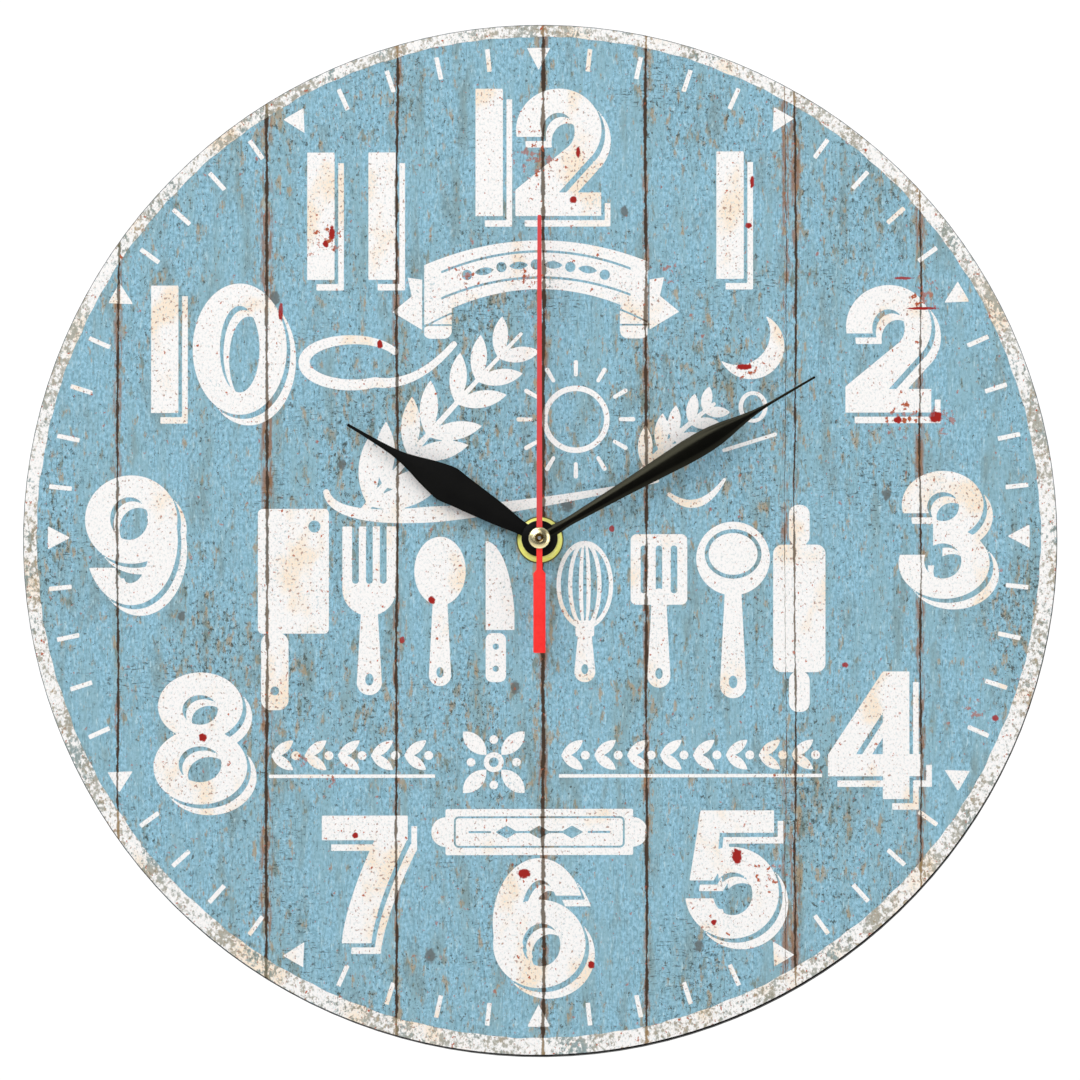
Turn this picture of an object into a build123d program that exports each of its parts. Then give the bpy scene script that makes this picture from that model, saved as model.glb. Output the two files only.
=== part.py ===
"""Round wall clock: a fibreboard disc with a printed face, three hands and a quartz movement behind it.

Millimetres. The wall is the plane y = 0, the clock faces -Y and +Z is up. The origin is on the axis of
the hands, at the wall. A height h is a distance from the wall towards the room.
"""
from math import cos, degrees, radians, sin
import os

from build123d import *

# Board and face
BOARD_R = 150.0
BOARD_BACK = 17.8
BOARD_T = 5.0
BOARD_HOLE_R = 4.2
PRINT_T = 0.2
PRINT_MARGIN = 0.15

# Movement case
CASE_W = 56.0
CASE_T = 16.0
WALL = 1.2
CASE_CORNER_R = 3.0
DIVIDER_Z = -10.2
COVER_T = 1.2
COVER_GAP = 0.2
POST_X = 24.5
POST_TOP_Z = 24.5
POST_LOW_Z = -7.8
POST_R = 1.8
SHOULDER_R = 2.6
PLATE_BACK = 8.8
PLATE_T = 0.6

# Stem, nut and washers
STEM_R = 3.9
STEM_BORE_R = 2.65
STEM_TIP = 25.8
THREAD_PITCH = 0.75
HANGER_T = 1.0
RUBBER_T = 0.8
WASHER_R = 6.85
WASHER_T = 0.5
NUT_FLATS = 11.0
NUT_T = 1.8

# Hands: direction in degrees, anticlockwise from three o'clock as the face is seen
HOUR_DIRECTION = 149.1
MINUTE_DIRECTION = 30.4
SECOND_DIRECTION = 90.0
HOUR_LENGTH = 65.0
MINUTE_LENGTH = 92.6
SECOND_LENGTH = 94.0
SECOND_TAIL = 33.4
HUB_R = 5.25
HAND_T = 0.5
RIDGE_T = 0.35
HOUR_TUBE_R = 2.55
MINUTE_TUBE_R = 1.75
ARBOR_R = 0.5
PIVOT_R = 0.35
PIVOT_CLEARANCE = 0.03
PIVOT_BACK = 0.75
PIVOT_SPAN = 8.4

# Heights of the hands
HOUR_HAND_BACK = 26.6
MINUTE_HAND_BACK = 28.2
SECOND_HAND_BACK = 30.0

# Heights of the wheels: back of each toothed rim, and its thickness
ROTOR_PINION_BACK = 1.9
ROTOR_PINION_T = 1.2
FIFTH_WHEEL_BACK = 2.0
FIFTH_WHEEL_T = 0.7
FIFTH_PINION_T = 3.1
SECONDS_WHEEL_BACK = 4.6
SECONDS_PINION_T = 1.8
THIRD_WHEEL_BACK = 6.0
THIRD_PINION_T = 1.9
MOTION_WHEEL_BACK = 9.6
MOTION_PINION_T = 3.0
SETTING_GEAR_T = 1.2
HOUR_WHEEL_BACK = 12.2
WHEEL_T = 0.8

# Gear train: (teeth, teeth, module) of each mesh, and the direction from the first axis to the second
ROTOR_MESH = (10, 60, 0.2)
FIFTH_MESH = (10, 50, 0.28)
SECONDS_MESH = (10, 75, 16.2 / 85)
THIRD_MESH = (10, 80, 0.18)
CANNON_MESH = (12, 36, 0.35)
MOTION_MESH = (10, 40, 0.336)
SETTING_MESH = (36, 18, 0.35)
FIFTH_BEARING = 135.0
ROTOR_BEARING = 100.0
THIRD_BEARING = -10.0
MOTION_BEARING = 60.0
SETTING_BEARING = 20.0

# Battery: an AA cell in its sleeve
CELL_R = 6.85
SLEEVE_R = 7.0
CELL_Z = -19.1
CELL_H = 7.5


def face(height):
    """Plane parallel to the wall; its x is +X, its y is +Z and it faces the room."""
    return Plane.XZ.offset(height)


def step_from(centre, distance, bearing):
    """The point at a distance and a bearing, in degrees, from a centre."""
    return (centre[0] + distance * cos(radians(bearing)), centre[1] + distance * sin(radians(bearing)))


def spacing(mesh):
    """Distance between the axes of two meshed gears."""
    first_teeth, second_teeth, module = mesh
    return (first_teeth + second_teeth) * module / 2


def mate_phase(phase, mesh, bearing):
    """Angle of one tooth of the second gear, so that a tooth of one stands in a gap of the other."""
    first_teeth, second_teeth, _ = mesh
    first_turn = (bearing - phase) * first_teeth / 360
    return bearing + 180 - (0.5 - first_turn) * 360 / second_teeth


def gear_face(height, centre, teeth, module, phase):
    """Outline of a spur gear with stub teeth: three radii down each flank, with half widths in modules."""
    flank = ((-1.05, 0.85), (0.0, 0.62), (0.7, 0.30))
    outline = []
    for tooth in range(teeth):
        middle = phase + 360 * tooth / teeth
        for side, order in ((-1, flank), (1, flank[::-1])):
            for rise, half_width in order:
                radius = (teeth / 2 + rise) * module
                lean = side * half_width * module / radius
                outline.append(step_from(centre, radius, middle + degrees(lean)))
    with BuildSketch(face(height)) as gear:
        with BuildLine():
            Polyline(*outline, close=True)
        make_face()
    return gear.sketch


def disc(height, radius, centre=(0, 0), hole=0.0):
    """A flat ring or disc parallel to the wall."""
    with BuildSketch(face(height)) as ring:
        with Locations(centre):
            Circle(radius)
            if hole:
                Circle(hole, mode=Mode.SUBTRACT)
    return ring.sketch


def panel(height, x_low, x_high, z_low, z_high, corner=0.0):
    """A rectangle parallel to the wall, from its edges."""
    with BuildSketch(face(height)) as sheet:
        with Locations(((x_low + x_high) / 2, (z_low + z_high) / 2)):
            if corner:
                RectangleRounded(x_high - x_low, z_high - z_low, corner)
            else:
                Rectangle(x_high - x_low, z_high - z_low)
    return sheet.sketch


def outline_face(height, half_profile, direction):
    """A hand's blade: a half profile of (distance, half width) points, mirrored and turned to a direction."""
    far_side = [(distance, -half_width) for distance, half_width in reversed(half_profile)]
    with BuildSketch(face(height)) as blade:
        with BuildLine():
            Polyline(*half_profile, *far_side, close=True)
        make_face()
    turned = blade.sketch_local.rotate(Axis.Z, direction)
    return face(height) * turned


# Axes of the train
hand_axis = (0.0, 0.0)
fifth_axis = step_from(hand_axis, spacing(FIFTH_MESH), FIFTH_BEARING)
rotor_axis = step_from(fifth_axis, spacing(ROTOR_MESH), ROTOR_BEARING)
third_axis = step_from(hand_axis, spacing(SECONDS_MESH), THIRD_BEARING)
motion_axis = step_from(hand_axis, spacing(CANNON_MESH), MOTION_BEARING)
setting_axis = step_from(motion_axis, spacing(SETTING_MESH), SETTING_BEARING)
pivots = (rotor_axis, fifth_axis, third_axis, hand_axis)

# Tooth phases, each from the gear that it meets
rotor_phase = 0.0
fifth_wheel_phase = mate_phase(rotor_phase, ROTOR_MESH, ROTOR_BEARING + 180)
fifth_pinion_phase = 0.0
seconds_wheel_phase = mate_phase(fifth_pinion_phase, FIFTH_MESH, FIFTH_BEARING + 180)
seconds_pinion_phase = 0.0
third_wheel_phase = mate_phase(seconds_pinion_phase, SECONDS_MESH, THIRD_BEARING)
third_pinion_phase = 0.0
centre_wheel_phase = mate_phase(third_pinion_phase, THIRD_MESH, THIRD_BEARING + 180)
cannon_phase = 0.0
motion_wheel_phase = mate_phase(cannon_phase, CANNON_MESH, MOTION_BEARING)
motion_pinion_phase = 0.0
hour_wheel_phase = mate_phase(motion_pinion_phase, MOTION_MESH, MOTION_BEARING + 180)
setting_phase = mate_phase(motion_wheel_phase, SETTING_MESH, SETTING_BEARING)

board_front = BOARD_BACK + BOARD_T
print_front = board_front + PRINT_T
half_case = CASE_W / 2
inner = half_case - WALL
case_front = CASE_T
front_wall_back = CASE_T - WALL
plate_front = PLATE_BACK + PLATE_T
posts = [(x, z) for x in (-POST_X, POST_X) for z in (POST_LOW_Z, POST_TOP_Z)]

# ---------------------------------------------------------------- board, face and hub fittings
with BuildPart() as dial_board:
    with BuildSketch(face(BOARD_BACK)):
        Circle(BOARD_R)
        Circle(BOARD_HOLE_R, mode=Mode.SUBTRACT)
    extrude(amount=BOARD_T)
    rim_edges = dial_board.edges().filter_by(GeomType.CIRCLE).group_by(SortBy.RADIUS)[-1]
    chamfer(rim_edges.sort_by(Axis.Y)[-1], length=0.5)

with BuildPart() as dial_print:
    with BuildSketch(face(board_front)):
        Circle(BOARD_R - PRINT_MARGIN)
        Circle(BOARD_HOLE_R, mode=Mode.SUBTRACT)
    extrude(amount=PRINT_T)

with BuildPart() as brass_washer:
    with BuildSketch(face(print_front)):
        Circle(WASHER_R)
        Circle(STEM_R + 0.15, mode=Mode.SUBTRACT)
    extrude(amount=WASHER_T)
    chamfer(brass_washer.edges().filter_by(GeomType.CIRCLE).sort_by(Axis.Y)[0], length=0.12)

nut_back = print_front + WASHER_T
with BuildPart() as brass_nut:
    with BuildSketch(face(nut_back)):
        RegularPolygon(NUT_FLATS / 2, 6, major_radius=False, rotation=8)
    extrude(amount=NUT_T)
    # the turned bevel that takes the corners off the front of the nut
    with BuildSketch(Plane.XY):
        with BuildLine():
            Polyline((0, -nut_back), (6.6, -nut_back), (6.6, -nut_back - 1.35), (5.4, -nut_back - NUT_T),
                     (0, -nut_back - NUT_T), close=True)
        make_face()
    revolve(axis=Axis.Y, mode=Mode.INTERSECT)
    with BuildSketch(face(nut_back)):
        Circle(STEM_R + 0.05)
    extrude(amount=NUT_T, mode=Mode.SUBTRACT)

FLANGE_R = 5.5
FLANGE_T = 0.6
THREAD_DEPTH = 0.28
flange_back = front_wall_back - FLANGE_T
with BuildPart() as threaded_stem:
    with BuildSketch(face(flange_back)):
        Circle(FLANGE_R)
        Circle(STEM_BORE_R, mode=Mode.SUBTRACT)
    extrude(amount=FLANGE_T)
    with BuildSketch(face(front_wall_back)):
        Circle(STEM_R)
        Circle(STEM_BORE_R, mode=Mode.SUBTRACT)
    extrude(amount=STEM_TIP - front_wall_back)
    chamfer(threaded_stem.edges().filter_by(GeomType.CIRCLE).sort_by(Axis.Y)[0:2].sort_by(SortBy.RADIUS)[-1],
            length=0.25)
    # thread shown as rings: one V groove for each pitch
    groove_count = int((STEM_TIP - case_front - 1.0) / THREAD_PITCH)
    with BuildSketch(Plane.XY):
        for turn in range(groove_count):
            depth = -(case_front + 0.6 + turn * THREAD_PITCH)
            with BuildLine():
                Polyline((STEM_R + 0.1, depth + 0.3), (STEM_R - THREAD_DEPTH, depth),
                         (STEM_R + 0.1, depth - 0.3), close=True)
            make_face()
    revolve(axis=Axis.Y, mode=Mode.SUBTRACT)

with BuildPart() as rubber_washer:
    with BuildSketch(face(case_front + HANGER_T)):
        Circle(11.0)
        Circle(STEM_R + 0.25, mode=Mode.SUBTRACT)
    extrude(amount=RUBBER_T)

# ---------------------------------------------------------------- hanger plate with its keyhole
NECK_W = 16.0
TAB_TOP_Z = 48.0
TAB_SETBACK = 5.0
JOG_Z = 30.0
KEYHOLE_Z = 38.0
KEYHOLE_R = 4.0
SLOT_W = 4.0
SLOT_TOP_Z = 44.0
PIP_X = 8.0
PIP_R = 1.0
tab_back = case_front - TAB_SETBACK
with BuildPart() as hanger_plate:
    with BuildSketch(face(case_front)):
        Circle(12.0)
        with Locations((0, JOG_Z / 2)):
            Rectangle(NECK_W, JOG_Z)
        Circle(STEM_R + 0.2, mode=Mode.SUBTRACT)
        with Locations((-PIP_X, 0), (PIP_X, 0)):
            Circle(PIP_R + 0.1, mode=Mode.SUBTRACT)
    extrude(amount=HANGER_T)
    # the jog back towards the wall, drawn from the side
    with BuildSketch(Plane.YZ.offset(-NECK_W / 2)):
        with BuildLine():
            Polyline((-case_front - HANGER_T, JOG_Z), (-case_front, JOG_Z - 1), (-tab_back, JOG_Z + 2),
                     (-tab_back, JOG_Z + 4), (-tab_back - HANGER_T, JOG_Z + 4),
                     (-tab_back - HANGER_T, JOG_Z + 3), close=True)
        make_face()
    extrude(amount=NECK_W)
    with BuildSketch(face(tab_back)):
        with Locations((0, KEYHOLE_Z)):
            Circle(9.5)
        with Locations((0, (JOG_Z + 3 + TAB_TOP_Z) / 2)):
            RectangleRounded(NECK_W, TAB_TOP_Z - JOG_Z - 3, 0.6)
    extrude(amount=HANGER_T)
    with BuildSketch(face(tab_back)):
        with Locations((0, KEYHOLE_Z)):
            Circle(KEYHOLE_R)
        with Locations((0, (KEYHOLE_Z + SLOT_TOP_Z) / 2)):
            Rectangle(SLOT_W, SLOT_TOP_Z - KEYHOLE_Z)
        with Locations((0, SLOT_TOP_Z)):
            Circle(SLOT_W / 2)
    extrude(amount=HANGER_T, mode=Mode.SUBTRACT)

# ---------------------------------------------------------------- movement case, cover and middle plate
SETTING_BOSS_R = 2.0
SETTING_PIVOT_R = 0.8
SETTING_BOSS_BACK = 12.6
LEAD_H = 5.4
LEAD_W = 1.0
BAY_FLOOR_Z = -26.8
with BuildPart() as movement_case:
    with BuildSketch(face(0)):
        RectangleRounded(CASE_W, CASE_W, CASE_CORNER_R)
    extrude(amount=CASE_T)
    fillet(movement_case.faces().sort_by(Axis.Y)[0].edges(), radius=0.8)
    # gear cavity and battery bay, both open at the back
    extrude(panel(0, -inner, inner, DIVIDER_Z, inner), amount=front_wall_back, mode=Mode.SUBTRACT)
    extrude(panel(0, -inner, inner, BAY_FLOOR_Z, DIVIDER_Z - WALL),
            amount=front_wall_back, mode=Mode.SUBTRACT)
    # finger scoop that lets the cell be lifted out
    with BuildSketch(face(0)):
        with Locations((0, -half_case)):
            Circle(9.0)
    extrude(amount=7.0, mode=Mode.SUBTRACT)
    # stem hole, corner posts with a shoulder, boss of the setting shaft and two locating pips
    extrude(disc(front_wall_back, STEM_R + 0.02), amount=WALL, mode=Mode.SUBTRACT)
    for post in posts:
        extrude(disc(plate_front, SHOULDER_R, post), amount=front_wall_back - plate_front)
        extrude(disc(COVER_T, POST_R, post), amount=plate_front - COVER_T)
    extrude(disc(SETTING_BOSS_BACK, SETTING_BOSS_R, setting_axis), amount=front_wall_back - SETTING_BOSS_BACK)
    extrude(disc(SETTING_BOSS_BACK, SETTING_PIVOT_R + 0.06, setting_axis),
            amount=front_wall_back - SETTING_BOSS_BACK, mode=Mode.SUBTRACT)
    for pip_x in (-PIP_X, PIP_X):
        extrude(disc(case_front, PIP_R, (pip_x, 0)), amount=HANGER_T)
    # notches in the divider where the two battery leads pass
    for lead_x in (-inner, inner):
        inward = lead_x - 1.2 if lead_x > 0 else lead_x + 1.2
        extrude(panel(0, min(lead_x, inward), max(lead_x, inward), DIVIDER_Z - WALL, DIVIDER_Z),
                amount=LEAD_H + LEAD_W + 0.3, mode=Mode.SUBTRACT)

KNOB_HOLE_R = 4.8
BEARING_BOSS_R = 1.0
BEARING_TOP = 1.7
BEARING_BOTTOM = 0.6
with BuildPart() as rear_cover:
    with BuildSketch(face(0)):
        with Locations((0, (DIVIDER_Z + COVER_GAP + inner - COVER_GAP) / 2)):
            RectangleRounded(2 * (inner - COVER_GAP), inner - DIVIDER_Z - 2 * COVER_GAP, 0.8)
        with Locations(setting_axis):
            Circle(KNOB_HOLE_R, mode=Mode.SUBTRACT)
    extrude(amount=COVER_T)
    for pivot in pivots:
        extrude(disc(COVER_T, BEARING_BOSS_R, pivot), amount=BEARING_TOP - COVER_T)
        extrude(disc(BEARING_BOTTOM, PIVOT_R + PIVOT_CLEARANCE, pivot), amount=BEARING_TOP - BEARING_BOTTOM,
                mode=Mode.SUBTRACT)
    # a shallow ring round the knob and a row of grip ribs along the lower edge
    extrude(disc(0, KNOB_HOLE_R + 1.6, setting_axis, KNOB_HOLE_R + 1.0), amount=0.25, mode=Mode.SUBTRACT)
    for rib in range(9):
        extrude(panel(0, -19.0 + rib * 1.6, -18.3 + rib * 1.6, -7.5, -2.5), amount=0.3, mode=Mode.SUBTRACT)

STATOR_BACK = 3.9
STATOR_T = 0.8
STATOR_BAR_Z = 12.8
STATOR_PIN_X = (-17.2, 6.7)
STATOR_PIN_R = 0.8
CANNON_HOLE_R = 1.9
SETTING_SHAFT_R = 1.2
MOTION_PIN_R = 0.7
MOTION_PIN_TIP = 14.0
BOARD_PINS = ((12.6, 23.6), (19.4, 18.2))
BOARD_BACK_H = 6.4
BOARD_THICK = 0.8
with BuildPart() as middle_plate:
    with BuildSketch(face(PLATE_BACK)):
        with Locations((0, 8.3)):
            RectangleRounded(50.8, 34.2, 1.0)
        with Locations(*posts):
            Circle(POST_R + 0.1, mode=Mode.SUBTRACT)
        Circle(CANNON_HOLE_R, mode=Mode.SUBTRACT)
        with Locations(rotor_axis, fifth_axis, third_axis):
            Circle(PIVOT_R + PIVOT_CLEARANCE, mode=Mode.SUBTRACT)
        with Locations(setting_axis):
            Circle(SETTING_SHAFT_R + 0.1, mode=Mode.SUBTRACT)
    extrude(amount=PLATE_T)
    extrude(disc(plate_front, MOTION_PIN_R, motion_axis), amount=MOTION_PIN_TIP - plate_front)
    # pillars that hold the stator and the circuit board, each with a pin at its end
    stator_front = STATOR_BACK + STATOR_T
    for pin_x in STATOR_PIN_X:
        extrude(disc(stator_front, 1.6, (pin_x, STATOR_BAR_Z)), amount=PLATE_BACK - stator_front)
        extrude(disc(STATOR_BACK - 0.4, STATOR_PIN_R, (pin_x, STATOR_BAR_Z)), amount=PLATE_BACK - STATOR_BACK)
    for board_pin in BOARD_PINS:
        extrude(disc(BOARD_BACK_H + BOARD_THICK, 1.0, board_pin),
                amount=PLATE_BACK - BOARD_BACK_H - BOARD_THICK)
        extrude(disc(BOARD_BACK_H - 0.4, 0.5, board_pin), amount=PLATE_BACK - BOARD_BACK_H)

# ---------------------------------------------------------------- stepper motor
ROTOR_HOLE_R = 3.3
COIL_Z = 21.5
LEG_TOP_Z = 24.0
LEFT_LEG = (-19.5, -15.0)
RIGHT_LEG = (4.5, 9.0)
with BuildPart() as stator:
    with BuildSketch(face(STATOR_BACK)):
        with Locations(((LEFT_LEG[0] + RIGHT_LEG[1]) / 2, STATOR_BAR_Z)):
            Rectangle(RIGHT_LEG[1] - LEFT_LEG[0], 5.2)
        with Locations(rotor_axis):
            Circle(5.0)
        for leg in (LEFT_LEG, RIGHT_LEG):
            with Locations(((leg[0] + leg[1]) / 2, (STATOR_BAR_Z + LEG_TOP_Z) / 2)):
                Rectangle(leg[1] - leg[0], LEG_TOP_Z - STATOR_BAR_Z)
        with Locations(rotor_axis):
            Circle(ROTOR_HOLE_R, mode=Mode.SUBTRACT)
            # two small notches that give the rotor its rest position
            with PolarLocations(ROTOR_HOLE_R, 2, start_angle=50):
                Circle(0.45, mode=Mode.SUBTRACT)
        with Locations(*[(pin_x, STATOR_BAR_Z) for pin_x in STATOR_PIN_X]):
            Circle(STATOR_PIN_R + 0.02, mode=Mode.SUBTRACT)
    extrude(amount=STATOR_T)

CORE_W = 4.0
CORE_BACK = STATOR_BACK + STATOR_T
CORE_T = 0.8
COIL_H = CORE_BACK + CORE_T / 2
SPOOL = (-14.6, 4.1)
SPOOL_FLANGE_T = 0.8
SPOOL_FLANGE_R = 3.6
SPOOL_TUBE_R = 2.7
WINDING_R = 3.35
with BuildPart() as coil_core:
    with BuildSketch(face(CORE_BACK)):
        with Locations(((LEFT_LEG[0] + RIGHT_LEG[1]) / 2, COIL_Z)):
            Rectangle(RIGHT_LEG[1] - LEFT_LEG[0], CORE_W)
    extrude(amount=CORE_T)

# planes across the coil: x is +Y and y is +Z, with the coil's axis along X
spool_start = Plane(origin=(SPOOL[0], -COIL_H, COIL_Z), x_dir=(0, 1, 0), z_dir=(1, 0, 0))
spool_length = SPOOL[1] - SPOOL[0]
winding_start = spool_start.offset(SPOOL_FLANGE_T)
winding_length = spool_length - 2 * SPOOL_FLANGE_T
with BuildPart() as coil_bobbin:
    with BuildSketch(spool_start):
        Circle(SPOOL_TUBE_R)
    extrude(amount=spool_length)
    with BuildSketch(spool_start, spool_start.offset(spool_length - SPOOL_FLANGE_T)):
        Circle(SPOOL_FLANGE_R)
    extrude(amount=SPOOL_FLANGE_T)
    with BuildSketch(spool_start):
        Rectangle(CORE_T, CORE_W)
    extrude(amount=spool_length, mode=Mode.SUBTRACT)

with BuildPart() as coil_winding:
    with BuildSketch(winding_start):
        Circle(WINDING_R)
        Circle(SPOOL_TUBE_R, mode=Mode.SUBTRACT)
    extrude(amount=winding_length)

ROTOR_HUB_R = 0.95
ROTOR_HUB_T = 3.0
MAGNET_BACK = 3.4
MAGNET_R = 2.8
MAGNET_T = 1.8
rotor_hub_back = ROTOR_PINION_BACK + ROTOR_PINION_T
with BuildPart() as rotor_pinion:
    extrude(disc(PIVOT_BACK, PIVOT_R, rotor_axis), amount=PIVOT_SPAN)
    extrude(gear_face(ROTOR_PINION_BACK, rotor_axis, ROTOR_MESH[0], ROTOR_MESH[2], rotor_phase),
            amount=ROTOR_PINION_T)
    extrude(disc(rotor_hub_back, ROTOR_HUB_R, rotor_axis), amount=ROTOR_HUB_T)

with BuildPart() as rotor_magnet:
    with BuildSketch(face(MAGNET_BACK)):
        with Locations(rotor_axis):
            Circle(MAGNET_R)
            Circle(ROTOR_HUB_R, mode=Mode.SUBTRACT)
    extrude(amount=MAGNET_T)

# ---------------------------------------------------------------- wheels of the going train
fifth_pinion_back = FIFTH_WHEEL_BACK + FIFTH_WHEEL_T
with BuildPart() as fifth_wheel:
    extrude(disc(PIVOT_BACK, PIVOT_R, fifth_axis), amount=PIVOT_SPAN)
    extrude(gear_face(FIFTH_WHEEL_BACK, fifth_axis, ROTOR_MESH[1], ROTOR_MESH[2], fifth_wheel_phase),
            amount=FIFTH_WHEEL_T)
    extrude(gear_face(fifth_pinion_back, fifth_axis, FIFTH_MESH[0], FIFTH_MESH[2], fifth_pinion_phase),
            amount=FIFTH_PINION_T)

ARBOR_BACK = 1.95
ARBOR_PAST_HAND = 0.9
with BuildPart() as seconds_arbor:
    extrude(disc(PIVOT_BACK, PIVOT_R), amount=ARBOR_BACK - PIVOT_BACK)
    extrude(disc(ARBOR_BACK, ARBOR_R), amount=SECOND_HAND_BACK + ARBOR_PAST_HAND - ARBOR_BACK)

SECONDS_HUB_R = 1.2
SECONDS_HUB_T = 1.0
seconds_pinion_back = SECONDS_WHEEL_BACK + WHEEL_T
seconds_hub_back = SECONDS_WHEEL_BACK - SECONDS_HUB_T
with BuildPart() as seconds_wheel:
    extrude(gear_face(SECONDS_WHEEL_BACK, hand_axis, FIFTH_MESH[1], FIFTH_MESH[2], seconds_wheel_phase),
            amount=WHEEL_T)
    extrude(gear_face(seconds_pinion_back, hand_axis, SECONDS_MESH[0], SECONDS_MESH[2], seconds_pinion_phase),
            amount=SECONDS_PINION_T)
    extrude(disc(seconds_hub_back, SECONDS_HUB_R), amount=SECONDS_HUB_T)
    extrude(disc(seconds_hub_back, ARBOR_R), amount=seconds_pinion_back + SECONDS_PINION_T - seconds_hub_back,
            mode=Mode.SUBTRACT)
    # lightening holes in the wheel's web
    with BuildSketch(face(SECONDS_WHEEL_BACK)):
        with PolarLocations(4.3, 4):
            Circle(1.3)
    extrude(amount=WHEEL_T, mode=Mode.SUBTRACT)

THIRD_HUB_R = 0.9
THIRD_HUB_T = 3.0
third_pinion_back = THIRD_WHEEL_BACK + WHEEL_T
with BuildPart() as third_wheel:
    extrude(disc(PIVOT_BACK, PIVOT_R, third_axis), amount=PIVOT_SPAN)
    extrude(disc(THIRD_WHEEL_BACK - THIRD_HUB_T, THIRD_HUB_R, third_axis), amount=THIRD_HUB_T)
    extrude(gear_face(THIRD_WHEEL_BACK, third_axis, SECONDS_MESH[1], SECONDS_MESH[2], third_wheel_phase),
            amount=WHEEL_T)
    extrude(gear_face(third_pinion_back, third_axis, THIRD_MESH[0], THIRD_MESH[2], third_pinion_phase),
            amount=THIRD_PINION_T)

CANNON_BACK = 7.45
CANNON_FLANGE_T = 0.2
CANNON_BORE_R = 0.65
CLUTCH_T = 0.15
centre_wheel_back = CANNON_BACK + CANNON_FLANGE_T + CLUTCH_T
minute_tube_tip = 29.6
with BuildPart() as centre_wheel:
    extrude(gear_face(centre_wheel_back, hand_axis, THIRD_MESH[1], THIRD_MESH[2], centre_wheel_phase),
            amount=WHEEL_T)
    extrude(disc(centre_wheel_back, MINUTE_TUBE_R), amount=WHEEL_T, mode=Mode.SUBTRACT)
    # lightening holes in the wheel's web
    with BuildSketch(face(centre_wheel_back)):
        with PolarLocations(4.6, 3):
            Circle(1.4)
    extrude(amount=WHEEL_T, mode=Mode.SUBTRACT)

with BuildPart() as clutch_spring:
    with BuildSketch(face(centre_wheel_back - CLUTCH_T)):
        Circle(2.1)
        with PolarLocations(2.4, 3, start_angle=30):
            Rectangle(2.2, 1.1)
        Circle(MINUTE_TUBE_R, mode=Mode.SUBTRACT)
    extrude(amount=CLUTCH_T)

CANNON_FLANGE_R = 2.3
CANNON_PINION_T = 1.4
with BuildPart() as cannon_pinion:
    extrude(disc(CANNON_BACK, CANNON_FLANGE_R), amount=CANNON_FLANGE_T)
    extrude(disc(CANNON_BACK, MINUTE_TUBE_R), amount=minute_tube_tip - CANNON_BACK)
    extrude(gear_face(MOTION_WHEEL_BACK, hand_axis, CANNON_MESH[0], CANNON_MESH[2], cannon_phase),
            amount=CANNON_PINION_T)
    extrude(disc(CANNON_BACK, CANNON_BORE_R), amount=minute_tube_tip - CANNON_BACK, mode=Mode.SUBTRACT)

# ---------------------------------------------------------------- motion work and hand setting
motion_pinion_back = MOTION_WHEEL_BACK + WHEEL_T
with BuildPart() as motion_wheel:
    extrude(gear_face(MOTION_WHEEL_BACK, motion_axis, CANNON_MESH[1], CANNON_MESH[2], motion_wheel_phase),
            amount=WHEEL_T)
    extrude(gear_face(motion_pinion_back, motion_axis, MOTION_MESH[0], MOTION_MESH[2], motion_pinion_phase),
            amount=MOTION_PINION_T)
    extrude(disc(MOTION_WHEEL_BACK, MOTION_PIN_R + 0.06, motion_axis), amount=WHEEL_T + MOTION_PINION_T,
            mode=Mode.SUBTRACT)

HOUR_TUBE_BACK = 11.4
HOUR_TUBE_TIP = 27.8
hour_tube_length = HOUR_TUBE_TIP - HOUR_TUBE_BACK
with BuildPart() as hour_wheel:
    extrude(gear_face(HOUR_WHEEL_BACK, hand_axis, MOTION_MESH[1], MOTION_MESH[2], hour_wheel_phase),
            amount=WHEEL_T)
    extrude(disc(HOUR_TUBE_BACK, HOUR_TUBE_R), amount=hour_tube_length)
    extrude(disc(HOUR_TUBE_BACK, MINUTE_TUBE_R + 0.1), amount=hour_tube_length, mode=Mode.SUBTRACT)

KNOB_BACK = 0.4
KNOB_T = 2.0
KNOB_R = 4.4
KNOB_DISH_R = 2.8
KNOB_DISH_T = 0.3
KNOB_SPIGOT_R = 1.0
KNOB_SPIGOT_BACK = 0.9
SETTING_SHAFT_T = 10.0
SETTING_PIVOT_T = 1.8
knob_front = KNOB_BACK + KNOB_T
spigot_t = knob_front - KNOB_SPIGOT_BACK
with BuildPart() as setting_gear:
    extrude(disc(KNOB_SPIGOT_BACK, KNOB_SPIGOT_R, setting_axis), amount=spigot_t)
    extrude(disc(knob_front, SETTING_SHAFT_R, setting_axis), amount=SETTING_SHAFT_T)
    extrude(disc(knob_front + SETTING_SHAFT_T, SETTING_PIVOT_R, setting_axis), amount=SETTING_PIVOT_T)
    extrude(gear_face(MOTION_WHEEL_BACK, setting_axis, SETTING_MESH[1], SETTING_MESH[2], setting_phase),
            amount=SETTING_GEAR_T)

with BuildPart() as setting_knob:
    extrude(disc(KNOB_BACK, KNOB_R, setting_axis), amount=KNOB_T)
    # grip flutes round the knob, a finger dish in its back and the blind hole for the shaft
    with BuildSketch(face(KNOB_BACK)):
        with Locations(setting_axis):
            with PolarLocations(KNOB_R + 0.15, 20):
                Circle(0.4)
    extrude(amount=KNOB_T, mode=Mode.SUBTRACT)
    extrude(disc(KNOB_BACK, KNOB_DISH_R, setting_axis), amount=KNOB_DISH_T, mode=Mode.SUBTRACT)
    extrude(disc(KNOB_SPIGOT_BACK, KNOB_SPIGOT_R, setting_axis), amount=spigot_t, mode=Mode.SUBTRACT)

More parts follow.
